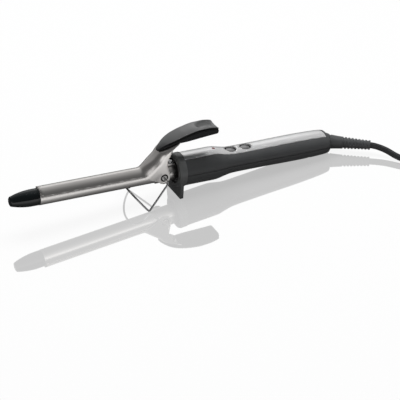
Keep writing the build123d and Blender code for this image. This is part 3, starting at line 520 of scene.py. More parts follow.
def pin_finish(name, colour, sleeve, split):
    """Plug pins: bright tips beyond a black sleeve that ends at a place along Y."""
    material, nodes, shader = new_finish(name, colour, 0.25)
    bare = nodes.coordinate("Y") > split
    nodes.fill(
        shader,
        Base_Color=nodes.mix(bare, opaque(sleeve), opaque(colour)),
        Metallic=bare,
        Roughness=0.45 - bare * 0.2 + nodes.noise(300.0) * 0.08,
    )
    return material


def rivet_finish(name, colour, seat):
    """Rivet steel, with painted shade: dark and rougher beyond the head's radius, standing in for the shadow in
    the gap round the head.
    """
    material, nodes, shader = new_finish(name, colour, 0.26, Metallic=1.0)
    along = nodes.coordinate("X") - PIVOT.x * MM
    rise = nodes.coordinate("Z") - PIVOT.z * MM
    # Painted shade: a mask of the steel beyond the head's radius, which takes the dark seat colour.
    painted_shade_mask = along * along + rise * rise > (RIVET_RADIUS * MM) ** 2 * 1.02
    nodes.fill(
        shader,
        Base_Color=nodes.mix(painted_shade_mask, opaque(colour), opaque(seat)),
        Roughness=0.22 + painted_shade_mask * 0.3 + nodes.noise(900.0) * 0.1,
    )
    return material


def make_finishes(colours):
    """All finishes, by material slot."""
    lengthwise = (0.05, 1.0, 1.0)
    crosswise = (1.0, 0.05, 1.0)
    # Metals: colour, roughness, grain of the streaks, spread of the roughness, relief, stretch of the streaks
    metals = {
        "satin_metal": (colours.barrel, 0.3, 1500.0, 0.1, 0.05, lengthwise),
        "chrome_wire": ((0.5, 0.5, 0.51), 0.14, 900.0, 0.08, 0.02, lengthwise),
        "screw_steel": ((0.55, 0.55, 0.56), 0.3, 1600.0, 0.12, 0.08),
        "spring_steel": ((0.8, 0.8, 0.8), 0.25, 1500.0, 0.1, 0.06, crosswise),
        "heater_aluminium": ((0.7, 0.7, 0.71), 0.38, 1200.0, 0.12, 0.08, lengthwise),
    }
    # Plastics: colour, roughness, grain, its relief, spread of the roughness, lift of the light specks
    plastics = {
        "black_gloss": (colours.tip, 0.12, 2600.0, 0.03, 0.05),
        "black_satin": (colours.lever, 0.36, 3200.0, 0.1, 0.1),
        "guard_satin": (colours.guard, 0.4, 3200.0, 0.1, 0.1),
        "dark_housing": (colours.housing, 0.42, 3600.0, 0.12, 0.08),
        "button_grey": (colours.button, 0.25, 3000.0, 0.05, 0.08),
        "lens_red": (colours.lens, 0.12, 700.0, 0.02, 0.06),
        "boot_rubber": (colours.boot, 0.5, 2600.0, 0.2, 0.12, 1.5),
        "cord_rubber": (colours.rubber, 0.52, 2200.0, 0.2, 0.12, 1.5),
        "ceramic": ((0.8, 0.78, 0.74), 0.55, 2500.0, 0.15, 0.1, 1.1),
        "film": ((0.6, 0.3, 0.06), 0.22, 900.0, 0.1, 0.1),
        "sensor_glass": ((0.55, 0.42, 0.3), 0.12, 900.0, 0.03, 0.06),
        "wire_sleeve": ((0.7, 0.69, 0.65), 0.7, 4200.0, 0.5, 0.1, 1.15),
        "bush_plastic": ((0.025, 0.025, 0.025), 0.5, 3000.0, 0.15, 0.1),
        "board_green": ((0.02, 0.16, 0.06), 0.35, 1400.0, 0.1, 0.12, 1.4),
        "sleeve_blue": ((0.03, 0.05, 0.16), 0.25, 900.0, 0.04, 0.08),
        "tie_plastic": ((0.03, 0.03, 0.03), 0.6, 2600.0, 0.25, 0.1),
        "plug_plastic": ((0.016, 0.016, 0.016), 0.45, 2800.0, 0.2, 0.12, 1.4),
    }
    # Coats and specular levels of some plastics; the sheen entry is painted sheen, a coat on upward faces only.
    coats_and_painted_sheen = {
        "black_satin": {"sheen": 1.0, "Specular_IOR_Level": 0.1, "Coat_IOR": 2.6, "Coat_Roughness": 0.3},
        "guard_satin": {"sheen": 0.5, "Coat_IOR": 1.6, "Coat_Roughness": 0.35},
        "dark_housing": {"Specular_IOR_Level": 0.3},
        "button_grey": {"Coat_Weight": 1.0, "Coat_IOR": 2.2, "Coat_Roughness": 0.15},
        "lens_red": {"Coat_Weight": 0.5},
    }
    for slot, values in metals.items():
        FINISHES[slot] = metal_finish(slot, *values)
    for slot, values in plastics.items():
        FINISHES[slot] = plastic_finish(slot, *values, **coats_and_painted_sheen.get(slot, {}))
    FINISHES["silver_cover"] = pearl_finish("silver_cover", colours.cover, 0.34)
    # Its second colour is the painted shade round the rivets' heads.
    FINISHES["rivet_steel"] = rivet_finish("rivet_steel", (0.7, 0.69, 0.68), (0.02, 0.018, 0.018))
    FINISHES["pin_brass"] = pin_finish("pin_brass", (0.66, 0.62, 0.55), (0.015, 0.015, 0.015), 0.012)


def dress_node(name, width=0.0, segments=2, angle=40, finish=None):
    """A finish, by default that of its slot, and rounded edges for a CAD node that is shown as it is."""
    node = frame["nodes"][name]
    slot = next(row["material_slot"] for row in frame["record"]["subparts"] if row["node"] == name)
    material = FINISHES[finish or slot]
    if node.material_slots:
        for holder in node.material_slots:
            holder.material = material
    else:
        node.data.materials.append(material)
    if width:
        weld = node.modifiers.new("joined faces", "WELD")
        weld.merge_threshold = 1e-6
        round_edges(node, width, segments, angle)
    return node


class IronSizes(bpy.types.PropertyGroup):
    """Sizes of the visible details."""

    edge: bpy.props.FloatProperty(
        name="Edge", description="Rounding of moulded edges, in millimetres", default=0.5, min=0.05, max=2.0
    )
    seam: bpy.props.FloatProperty(
        name="Seam", description="Half width of the joint between the housings, in millimetres", default=0.18
    )
    scoop: bpy.props.FloatProperty(
        name="Thumb scoop", description="Depth of the thumb lever's dished end, in millimetres", default=3.4
    )
    cord_length: bpy.props.FloatProperty(
        name="Cord length", description="Length of the mains lead", default=2.18, unit="LENGTH"
    )
    cord_diameter: bpy.props.FloatProperty(
        name="Cord diameter", description="Thickness of the mains lead", default=0.006, unit="LENGTH"
    )


def colour_property(name, description, default):
    """Colour that a user may change."""
    return bpy.props.FloatVectorProperty(
        name=name, description=description, default=default, size=3, subtype="COLOR", min=0.0, max=1.0
    )


class IronColours(bpy.types.PropertyGroup):
    """Colours of the main finishes."""

    barrel: colour_property("Barrel", "Satin metal of the barrel and the clip", (0.79, 0.765, 0.745))
    tip: colour_property("Tip", "Glossy cool tip", (0.0015, 0.0026, 0.003))
    lever: colour_property("Lever", "Thumb lever", (0.01, 0.0104, 0.0108))
    guard: colour_property("Guard", "Guard collar", (0.06, 0.062, 0.062))
    housing: colour_property("Housing", "Handle housings", (0.036, 0.037, 0.038))
    cover: colour_property("Cover", "Top cover strip", (0.92, 0.92, 0.925))
    button: colour_property("Buttons", "Push buttons", (0.022, 0.022, 0.023))
    lens: colour_property("Lens", "Indicator lens", (0.08, 0.006, 0.006))
    boot: colour_property("Boot", "Cord boot", (0.03, 0.031, 0.032))
    rubber: colour_property("Rubber", "Cord", (0.01, 0.0105, 0.011))


# Camera: its place, directions, focal length and sensor width in millimetres, and its reach in metres
CAMERA_PLACE = (-523.18, -1112.11, 774.64)
CAMERA_RIGHT = (0.894729, -0.446538, -0.007978)
CAMERA_UP = (0.246480, 0.478817, 0.842604)
CAMERA_LENS = 140.88
CAMERA_SENSOR = 36.0
CAMERA_REACH = 20.0


class IRON_OT_camera(bpy.types.Operator):
    """Camera that sees the iron from its front left, a little above"""

    bl_idname = "iron.camera"
    bl_label = "Camera"

    def execute(self, context):
        lens = bpy.data.cameras.new("camera")
        lens.lens = CAMERA_LENS
        lens.sensor_width = CAMERA_SENSOR
        lens.clip_end = CAMERA_REACH
        camera = put_in_scene("camera", lens)
        right = Vector(CAMERA_RIGHT).normalized()
        up = (Vector(CAMERA_UP) - right * right.dot(Vector(CAMERA_UP))).normalized()
        turn = Matrix((right, up, right.cross(up))).transposed()
        camera.matrix_world = Matrix.Translation(Vector(CAMERA_PLACE) * MM) @ turn.to_4x4()
        context.scene.camera = camera
        context.scene.view_settings.view_transform = "Standard"
        return {"FINISHED"}


# Route of the mains lead, in millimetres: out of the boot, along the floor, round the coil and to the plug
CORD_EXIT_REACHES = (43.0, 48.0)
CORD_ROUTE = (
    (206.0, -36.8, 7.0),
    (209.9, -47.5, 4.9),
    (216.0, -58.0, 3.8),
    (226.0, -67.0, 3.8),
    (240.0, -72.8, 3.8),
    (256.0, -75.6, 3.8),
    (272.0, -76.6, 3.8),
    (288.0, -76.8, 3.8),
)
CORD_END_ROUTE = (
    (318.0, -76.8, 9.8),
    (334.0, -76.2, 9.2),
    (349.0, -73.8, 8.2),
    (362.0, -66.6, 7.4),
    (370.6, -54.6, 7.0),
    (373.5, -42.0, 7.0),
    (373.5, -34.0, 7.0),
)
COIL_CENTRE = (302.0, -28.0)
COIL_OUTER = 48.0
COIL_PITCH = 6.0
COIL_LAYER_TURNS = 4.0
COIL_CLIMB_TURNS = 1.0
COIL_FROM = 270.0
COIL_LOW = 3.8
COIL_RISE = 6.0
COIL_POINTS = 16


def coil_points():
    """Control points of the coil: inward on the floor, up, and outward on top."""
    turns = 2 * COIL_LAYER_TURNS + COIL_CLIMB_TURNS
    count = round(turns * COIL_POINTS)
    # The spline runs a little inside its control points, so they stand further out
    spread = 1 / (0.75 + 0.25 * cos(2 * pi / COIL_POINTS))
    points = []
    for i in range(count + 1):
        turn = turns * i / count
        inward = min(turn, COIL_LAYER_TURNS)
        outward = max(turn - COIL_LAYER_TURNS - COIL_CLIMB_TURNS, 0)
        radius = (COIL_OUTER - COIL_PITCH * (inward - outward)) * spread
        rise = ease(COIL_LAYER_TURNS, COIL_LAYER_TURNS + COIL_CLIMB_TURNS, turn)
        angle = radians(COIL_FROM) + 2 * pi * turn
        x = COIL_CENTRE[0] + radius * cos(angle)
        y = COIL_CENTRE[1] + radius * sin(angle)
        points.append((x, y, COIL_LOW + COIL_RISE * rise))
    return points


class IRON_OT_cord(bpy.types.Operator):
    """Mains lead with its coil, tie and plug"""

    bl_idname = "iron.cord"
    bl_label = "Mains lead"

    def execute(self, context):
        sizes = context.scene.iron_sizes
        exits = [tuple(BALL + BOOT_ALONG * reach) for reach in CORD_EXIT_REACHES]
        route = [*exits, *CORD_ROUTE, *coil_points(), *CORD_END_ROUTE]
        places = [tuple(value * MM for value in point) for point in route]
        lead = cord_line("mains_lead", places, sizes.cord_diameter / 2)
        settle(lead, "handle", "cord_rubber", ("cord_lead", "cord_coil", "cord_end"))
        plug = dress_node("plug_body", 0.6, segments=3, angle=25)
        pins = dress_node("plug_pins", 0.3)
        tie = dress_node("cord_tie", 0.3)
        return {"FINISHED"}


BARREL_RADIUS = 8.0
BARREL_BORE = 7.4
BARREL_FRONT = -125.0
BARREL_BACK = 28.0
TIP_END = -151.6
TIP_RADIUS = 7.75
TIP_END_RADIUS = 4.2
TIP_SHOULDER = -130.0
# Share of the tip's bow before its nose turns in, and how far the nose turns in
TIP_BOW_SHARE = 0.93
TIP_NOSE_DROP = 1.9
# Root of the tip: distance into the barrel, radius
TIP_ROOT = ((8.0, POLE), (8.0, 7.3), (0.3, 7.3), (0.05, 7.35), (-0.05, 7.6))
# Fine ring groove: distance in front of the barrel, depth
TIP_GROOVE = ((0.4, 0.0), (1.5, 0.0), (1.65, 0.18), (1.95, 0.18), (2.1, 0.0))
# Dimple in the tip's end: distance behind the end, radius
TIP_DIMPLE = ((0.12, 1.2), (0.35, POLE))


class IRON_OT_barrel(bpy.types.Operator):
    """Heated barrel and its cool tip"""

    bl_idname = "iron.barrel"
    bl_label = "Barrel and tip"

    def execute(self, context):
        outline = rounded(
            (
                (BARREL_FRONT, BARREL_BORE, 0),
                (BARREL_FRONT, BARREL_RADIUS, 0.35),
                (BARREL_BACK, BARREL_RADIUS, 0.2),
                (BARREL_BACK, BARREL_BORE, 0),
            )
        )
        tube = turned(outline, AXIS_START, ALONG, SIDE, 96, loop=True)
        mesh_piece("heated_barrel", tube, "handle", "satin_metal", ("barrel_tube",))
        tip = turned(self.tip_outline(), AXIS_START, ALONG, SIDE, 80)
        mesh_piece("cool_tip", tip, "handle", "black_gloss", ("tip_cap",))
        return {"FINISHED"}

    def tip_outline(self):
        """Outline of the tip from its root, over its bow, to the dimple in its end."""
        outline = [(BARREL_FRONT + inward, radius) for inward, radius in TIP_ROOT]
        outline += [(BARREL_FRONT - ahead, TIP_RADIUS - depth) for ahead, depth in TIP_GROOVE]
        run = TIP_SHOULDER - TIP_END
        drop = TIP_RADIUS - TIP_END_RADIUS
        bow = (run * run + drop * drop) / (2 * drop)
        for reach in span(0.0, TIP_BOW_SHARE * run, 18):
            outline.append((TIP_SHOULDER - reach, TIP_RADIUS - bow + sqrt(bow * bow - reach * reach)))
        nose, radius = outline[-1]
        for turn in span(0.1 * pi, 0.5 * pi, 7):
            outline.append((nose - (nose - TIP_END) * sin(turn), radius - TIP_NOSE_DROP * (1 - cos(turn))))
        return outline + [(TIP_END + behind, radius) for behind, radius in TIP_DIMPLE]


CLIP_SHEET = 0.8
CLIP_EDGE = 0.22
# Points of a rib of the clip, from the middle line to the edge
RIB_POINTS = 25
SPOON_FRONT = BARREL_FRONT + 0.15
SPOON_BACK = -31.2
SPOON_OUTER = 9.1
SPOON_HALF_ANGLE = radians(63.0)
SPOON_CORNER = 2.6
FLANGE_OUTER = 10.3
NECK_CORNER = 7.4
SEAT_CORNER = 3.6
RIVET_SEAT = 3.7
RIVET_RADIUS = 2.5
RIVET_PLAY = 0.05
# Reach to both sides of the tool that cuts the rivets' holes
RIVET_TOOL_REACH = 14.0
# Upper line and lower outline of the neck and the flanges, as matching (station, height) pairs
CLIP_RIBS = (
    ((-29.0, 9.1), (-29.0, 4.13)),
    ((-27.2, 9.12), (-26.6, 3.65)),
    ((-25.8, 9.35), (-23.8, 2.65)),
    ((-24.4, 10.05), (-20.8, 1.15)),
    ((-22.6, 11.3), (-17.6, -0.7)),
    ((-20.4, 13.05), (-14.4, -2.2)),
    ((-18.1, 14.85), (-11.4, -3.4)),
    ((-15.9, 16.65), (-8.7, -5.3)),
    ((-13.8, 18.45), (-5.5, -6.2)),
    ((-11.9, 20.3), (-2.2, -5.25)),
    ((-10.1, 22.3), (-0.1, -3.0)),
    ((-8.6, 24.1), (0.7, 0.0)),
    ((-7.2, 25.15), (-0.6, 3.2)),
    ((-5.6, 25.97), (-2.3, 7.2)),
    ((-3.6, 26.98), (-3.5, 11.4)),
    ((-1.2, 28.2), (-3.4, 15.4)),
    ((1.4, 29.53), (-2.3, 18.9)),
    ((4.0, 30.85), (0.0, 24.6)),
    ((6.6, 32.17), (4.0, 29.3)),
    ((8.6, 33.19), (7.4, 32.1)),
    ((10.0, 33.9), (9.7, 33.6)),
)
# Pairs between which the clip widens to its flanges, and its corners tighten at the neck and at the seat
FLANGE_PAIRS = (0.0, 7.0)
NECK_PAIRS = (2.0, 8.0)
SEAT_PAIRS = (9.0, 15.0)


def clip_rib(top, low, half, radius):
    """Points (station, side, height) from the clip's middle line over its back and down its flat side."""
    drop = Vector(low) - Vector(top)
    depth = drop.length
    flat = half - radius
    arc = radius * acos(max(0.0, 1 - depth / radius))
    points = []
    for run in span(0.0, flat + arc + max(depth - radius, 0.0), RIB_POINTS):
        angle = min(max(run - flat, 0.0), arc) / radius
        fall = radius * (1 - cos(angle)) + max(run - flat - arc, 0.0)
        place = Vector(top) + drop * (fall / depth)
        points.append((place.x, min(run, flat) + radius * sin(angle), place.y))
    return points


class IRON_OT_clip(bpy.types.Operator):
    """Clip of one sheet: spoon, neck and flanges"""

    bl_idname = "iron.clip"
    bl_label = "Clip"

    def execute(self, context):
        ribs = [*self.spoon_ribs(), *self.neck_ribs()]
        width = 2 * RIB_POINTS - 1
        verts, faces = [], []
        for rib in ribs:
            mirrored = [(s, -y, v) for s, y, v in reversed(rib[1:])]
            verts += [at(*point) for point in [*mirrored, *rib]]
        for row in range(len(ribs) - 1):
            for k in range(width - 1):
                a = row * width + k
                faces.append((a, a + 1, a + width + 1, a + width))
        clip = mesh_piece("hair_clip", (verts, faces), "clip", "satin_metal", ("clip_spoon",))
        # A face on the spoon's middle line tells which side is the outer one
        spoon_row = 20
        crown = clip.data.polygons[spoon_row * (width - 1) + width // 2]
        sheet = clip.modifiers.new("sheet", "SOLIDIFY")
        sheet.thickness = CLIP_SHEET * MM
        sheet.offset = -1.0 if crown.normal.dot(UPWARD) > 0 else 1.0
        sheet.use_quality_normals = True
        apply_modifiers(clip)
        hole = [(reach, RIVET_SEAT + RIVET_PLAY) for reach in (-RIVET_TOOL_REACH, RIVET_TOOL_REACH)]
        cut(clip, turned(hole, PIVOT, SIDE, ALONG, 48))
        soften(clip, CLIP_EDGE, segments=2, angle=50, sharp=40)
        dress_node("lever_screws", SCREW_EDGE)
        return {"FINISHED"}

    def spoon_ribs(self):
        """Ribs of the spoon, with its front corners rounded off."""
        edge = SPOON_OUTER * cos(SPOON_HALF_ANGLE)
        ribs = []
        for station in [SPOON_FRONT, *span(BARREL_FRONT + 3, SPOON_BACK, 34)]:
            ribs.append(clip_rib((station, SPOON_OUTER), (station, edge), SPOON_OUTER, SPOON_OUTER))
        last = RIB_POINTS - 1
        ribs[0] = [(s + SPOON_CORNER * (k / last) ** 6, y, v) for k, (s, y, v) in enumerate(ribs[0])]
        return ribs

    def neck_ribs(self):
        """Ribs of the neck and the flanges, smooth through the pairs of CLIP_RIBS."""
        lines = [[(i, *pair[end]) for i, pair in enumerate(CLIP_RIBS)] for end in (0, 1)]
        ribs = []
        for share in span(0, len(CLIP_RIBS) - 1, 61):
            top, low = ([smooth_between(line, share, column) for column in (1, 2)] for line in lines)
            half = SPOON_OUTER + (FLANGE_OUTER - SPOON_OUTER) * ease(*FLANGE_PAIRS, share)
            radius = half - (half - NECK_CORNER) * ease(*NECK_PAIRS, share)
            radius -= (NECK_CORNER - SEAT_CORNER) * ease(*SEAT_PAIRS, share)
            ribs.append(clip_rib(top, low, half, radius))
        return ribs


# Thumb lever: station, top, underside, half width
LEVER_SECTIONS = (
    (-10.4, 25.35, 25.05, 0.6),
    (-9.9, 26.05, 24.75, 1.9),
    (-8.6, 27.55, 24.75, 3.3),
    (-6.5, 29.7, 25.55, 4.6),
    (-2.8, 32.6, 27.3, 6.4),
    (2.0, 35.1, 29.6, 7.9),
    (7.1, 37.2, 31.6, 8.75),
    (16.1, 40.2, 32.0, 9.0),
    (29.6, 43.0, 33.3, 9.0),
    (38.8, 43.3, 34.2, 9.0),
    (45.0, 42.6, 34.7, 9.0),
    (47.2, 42.1, 34.9, 8.9),
    (48.1, 41.8, 35.05, 8.7),
    (48.5, 41.4, 35.3, 8.3),
)
# Its edge: inset from the side with the height above the underside, then with the depth below the rim
LEVER_FOOT = ((1.7, 0.0), (0.7, 0.5), (0.1, 1.9))
LEVER_EDGE = (
    (0.0, 2.75),
    (0.15, 2.4),
    (0.6, 1.75),
    (1.4, 1.65),
    (1.4, 0.85),
    (0.45, 0.8),
    (0.4, 0.45),
    (0.6, 0.12),
    (0.95, 0.0),
)
LEVER_CROWN = 0.6
LEVER_CROWN_INSET = 1.3
# Height and half width below which the edge shrinks with the lever
LEVER_FULL = 5.0
# The scoop: its front, the bow of its front edge, its run and half width
SCOOP = (27.0, 6.0, 6.5, 8.0)
# Stations between which the scoop grows shallower, and by what share
SCOOP_FADE = (42.0, 48.0)
SCOOP_LOSS = 0.55
# Shares of the lever's height between which the scoop sets in
SCOOP_LEVELS = (0.55, 0.8)


class IRON_OT_lever(bpy.types.Operator):
    """Thumb lever with a dished end"""

    bl_idname = "iron.lever"
    bl_label = "Thumb lever"

    def execute(self, context):
        depth = context.scene.iron_sizes.scoop
        front = LEVER_SECTIONS[0][0]
        back = LEVER_SECTIONS[-1][0]
        stations = [*span(front, -6.5, 14), *span(-6.0, 26.0, 34)]
        stations += [*span(26.5, 46.0, 60), *span(46.4, back, 10)]
        rings = []
        for station in stations:
            top, low, half = (smooth_between(LEVER_SECTIONS, station, column) for column in (1, 2, 3))
            ring = []
            for side, height in self.outline(top, low, half):
                level = ease(*SCOOP_LEVELS, (height - low) / (top - low))
                ring.append(at(station, side, height - depth * level * self.hollow(station, side)))
            rings.append(ring)
        mesh_piece("thumb_lever_grip", skin(rings), "clip", "black_satin", ("thumb_lever",), sharp=40)
        return {"FINISHED"}

    def hollow(self, station, side):
        """Share of the scoop's depth at a place of the lever's top."""
        front, bow, run, wide = SCOOP
        across = (side / wide) ** 2
        start = front + bow * across
        along = ease(start, start + run, station) * (1 - SCOOP_LOSS * ease(*SCOOP_FADE, station))
        return along * max(0.0, 1 - across)

    def outline(self, top, low, half):
        """Section of the lever: crowned top, crisp edge, parting groove and a side that draws in below."""
        unit = min(1.0, (top - low) / LEVER_FULL, half / LEVER_FULL)
        crown = LEVER_CROWN * unit
        near = [(half - inset * unit, low + rise * unit) for inset, rise in LEVER_FOOT]
        near += [(half - inset * unit, top - crown - drop * unit) for inset, drop in LEVER_EDGE]
        inner = half - LEVER_CROWN_INSET * unit
        crest = [(inner * share, top - crown * share * share) for share in span(1.0, -1.0, 25)]
        return [*near, *crest, *[(-side, height) for side, height in reversed(near)]]


# Rivet: distance to the side, radius, rounding
RIVET_OUTLINE = (
    (9.15, 0.95, 0),
    (9.15, RIVET_SEAT, 0),
    (10.0, RIVET_SEAT, 0),
    (10.0, RIVET_RADIUS, 0),
    (10.4, RIVET_RADIUS, 0),
    (10.75, 2.3, 0.25),
    (10.75, 1.7, 0.25),
    (10.2, 1.5, 0),
    (10.2, 0.95, 0),
)
BRACKET_EDGE = 0.2
LEAF_EDGE = 0.12
# Screw of the leaf spring: its station, and its shank and head as height, radius and rounding
SCREW_STATION = 4.0
SCREW_SHANK = ((8.1, POLE), (8.1, 1.2), (9.8, 1.2))
SCREW_HEAD = ((9.8, 2.35, 0), (11.3, 2.35, 0.55), (11.3, 1.9, 0), (11.35, POLE, 0))
# Its cross slot: turn in radians, half length, half width, heights
SLOT_TURN = 0.6
SLOT_HALF_LENGTH = 1.5
SLOT_HALF_WIDTH = 0.3
SLOT_HEIGHTS = (10.5, 12.0)


class IRON_OT_pivot(bpy.types.Operator):
    """Pivot bracket, rivets, leaf spring and its screw"""

    bl_idname = "iron.pivot"
    bl_label = "Pivot and spring"

    def execute(self, context):
        dress_node("pivot_bracket", BRACKET_EDGE)
        outline = rounded(RIVET_OUTLINE)
        heads = [turned(outline, PIVOT, SIDE * side, ALONG, 56, loop=True) for side in (1, -1)]
        mesh_piece("pivot_rivet_heads", merge(*heads), "handle", "rivet_steel", ("pivot_rivets",))
        self.spring()
        self.spring_screw()
        return {"FINISHED"}

    def spring(self):
        """Leaf spring, which gives way as the clip opens in the real iron; here a copy of the CAD node's shape
        with rounded edges, which does not bend.
        """
        leaf = put_in_scene("leaf_spring", frame["nodes"]["clip_spring"].data.copy())
        settle(leaf, "handle", "spring_steel", ("clip_spring",))
        soften(leaf, LEAF_EDGE, segments=2, angle=35, sharp=40)
        at(0.5, 0, 9.3)
        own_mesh(leaf)

    def spring_screw(self):
        """Cross-slotted screw of the leaf spring."""
        start = AXIS_START + ALONG * SCREW_STATION
        shape = turned([*SCREW_SHANK, *rounded(SCREW_HEAD)], start, UPWARD, ALONG, 40)
        screw = mesh_piece("spring_screw_head", shape, "handle", "screw_steel", ("spring_screw",))
        for turn in (SLOT_TURN, SLOT_TURN + pi / 2):
            along = ALONG * cos(turn) + SIDE * sin(turn)
            reach = along * SLOT_HALF_LENGTH
            over = UPWARD.cross(along) * SLOT_HALF_WIDTH
            corners = (-reach - over, reach - over, reach + over, over - reach)
            levels = [start + UPWARD * height for height in SLOT_HEIGHTS]
            cut(screw, skin([[(level + corner) * MM for corner in corners] for level in levels]))


WIRE_RADIUS = 0.9
FOOT_SPREAD = 22.3
FOOT_FORWARD = 21.6
# Share of the leg and of the arch by which the wire is drawn in at its foot
FOOT_BEND = 0.012
ARCH_STATION = -38.5
ARCH_HEIGHT = -9.2
# Hook and leg: share of the way from the pivot to the foot, distance to the side
WIRE_LEG = (
    (0.0, 9.2),
    (0.0, 13.0),
    (0.0, 16.6),
    (0.02, 18.6),
    (0.09, 19.6),
    (0.2, 20.0),
    (0.5, 20.9),
    (0.8, 21.74),
    (0.92, 22.076),
)
# Control points of half the arch, in degrees from the foot, and the fullness of its form
ARCH_TURNS = (6, *range(14, 85, 10))
ARCH_FULLNESS = 0.92


class IRON_OT_stand(bpy.types.Operator):
    """Wire stand, one bent wire that hooks into the rivets"""

    bl_idname = "iron.stand"
    bl_label = "Wire stand"

    def execute(self, context):
        foot = Vector((PIVOT.x - FOOT_FORWARD, 0, WIRE_RADIUS))
        leg = foot - PIVOT
        rise = at(ARCH_STATION, 0, ARCH_HEIGHT) / MM - foot
        half = [(PIVOT + leg * share, side) for share, side in WIRE_LEG]
        half.append((foot + (rise - leg) * FOOT_BEND, FOOT_SPREAD))
        for turn in map(radians, ARCH_TURNS):
            half.append((foot + rise * sin(turn), FOOT_SPREAD * cos(turn) ** ARCH_FULLNESS))
        line = [(point - SIDE * side) * MM for point, side in half]
        line += [(point + SIDE * side) * MM for point, side in reversed(half)]
        path = cord_line("wire_path", line, WIRE_RADIUS * MM, steps=10, sides=5)
        context.view_layer.update()
        mesh = bpy.data.meshes.new_from_object(path.evaluated_get(context.evaluated_depsgraph_get()))
        bpy.data.objects.remove(path)
        wire = put_in_scene("bent_wire_stand", mesh)
        shade(mesh, 50)
        settle(wire, "stand", "chrome_wire", ("wire_stand",))
        return {"FINISHED"}


class IRON_OT_guard(bpy.types.Operator):
    """Guard collar round the barrel's root"""

    bl_idname = "iron.guard"
    bl_label = "Guard"

    def execute(self, context):
        edge = context.scene.iron_sizes.edge
        dress_node("guard_collar", edge, segments=3, angle=30, finish="guard_satin")
        return {"FINISHED"}


HOUSING_WALL = 2.2
# Rounding of the handle's ends: length and share by which the edge draws in
FRONT_EDGE = (0.35, 0.8)
BACK_EDGE = (0.5, 0.9)
# Joint between the housings: depth of its edges, and the angles over which they and the wall's ends run out
SEAM_DEPTH = 0.22
SEAM_RUN = 0.035
WALL_RUN = 0.03
COVER_HALF_WIDTH = 7.6
COVER_BACK = 166.6
COVER_THICKNESS = 1.2
COVER_EDGE = 0.28
# Rings that close the cover's back: distance before its end, depth below the skin
COVER_END = ((0.35, 0.0), (0.08, 0.12), (0.0, 0.45))
# Seat of the cover: play at its sides, depth, depth behind the cover, depth and angle of its edge
SEAT_PLAY = 0.12
SEAT_DEPTH = 1.25
SEAT_RUNOUT = 0.02
SEAT_EDGE_DEPTH = 0.16
SEAT_EDGE_RUN = 0.012
# Holes: heights of the tools that cut them, radii
HOLE_HEIGHTS = (3.0, 30.0)
BUTTON_HOLE = 5.3
LENS_HOLE = 1.6
LENS_COVER_HOLE = 1.55
# Countersink of a button's hole: height above the cover, radius
COUNTERSINK = ((-1.1, 5.2), (2.0, 7.6))
WELL_HEIGHTS = (-30.0, -5.0)
SCREW_WELL = 2.8
# Housing screws: station, side
HOUSING_SCREWS = ((37.0, 0.0), (106.0, 0.0), (148.0, 8.6), (148.0, -8.6))
# Block in the tail that carries the boot's ball: its rings' stations and depth below the skin
TAIL_STATIONS = (160.0, 163.5, 166.5, HANDLE_BACK - 0.3)
TAIL_DEPTH = HOUSING_WALL - 0.1
BALL_RADIUS = 8.2
BALL_PLAY = 0.12


def handle_stations():
    """Stations of the handle's rings, closer where its form turns."""
    return [
        HANDLE_FRONT,
        HANDLE_FRONT + FRONT_EDGE[0],
        *span(HANDLE_FRONT + 2, 44.0, 10),
        *span(45.5, 70.0, 26),
        *span(73.0, 150.0, 24),
        *span(152.0, HANDLE_BACK - 4.5, 12),
        *span(HANDLE_BACK - 3.7, HANDLE_BACK - BACK_EDGE[0], 6),
        HANDLE_BACK,
    ]


def end_inset(station):
    """Rounding of the handle's end edges."""
    front = max(0.0, HANDLE_FRONT + FRONT_EDGE[0] - station)
    back = max(0.0, station - (HANDLE_BACK - BACK_EDGE[0]))
    return front * FRONT_EDGE[1] + back * BACK_EDGE[1]


def oval(half, angle, depth=0.0):
    """Point (side, height) of the handle's section at a depth below its skin."""
    return ((half[0] - depth) * cos(angle), (half[1] - depth) * sin(angle))


def arch(half, low, depth, count):
    """Points over the top of the handle's section, between an angle and its mirror image."""
    return [oval(half, angle, depth) for angle in span(low, pi - low, count)]


def on_floor(point):
    """The point, lifted to the floor where it would lie below it."""
    return Vector((point.x, point.y, max(point.z, 0.0)))


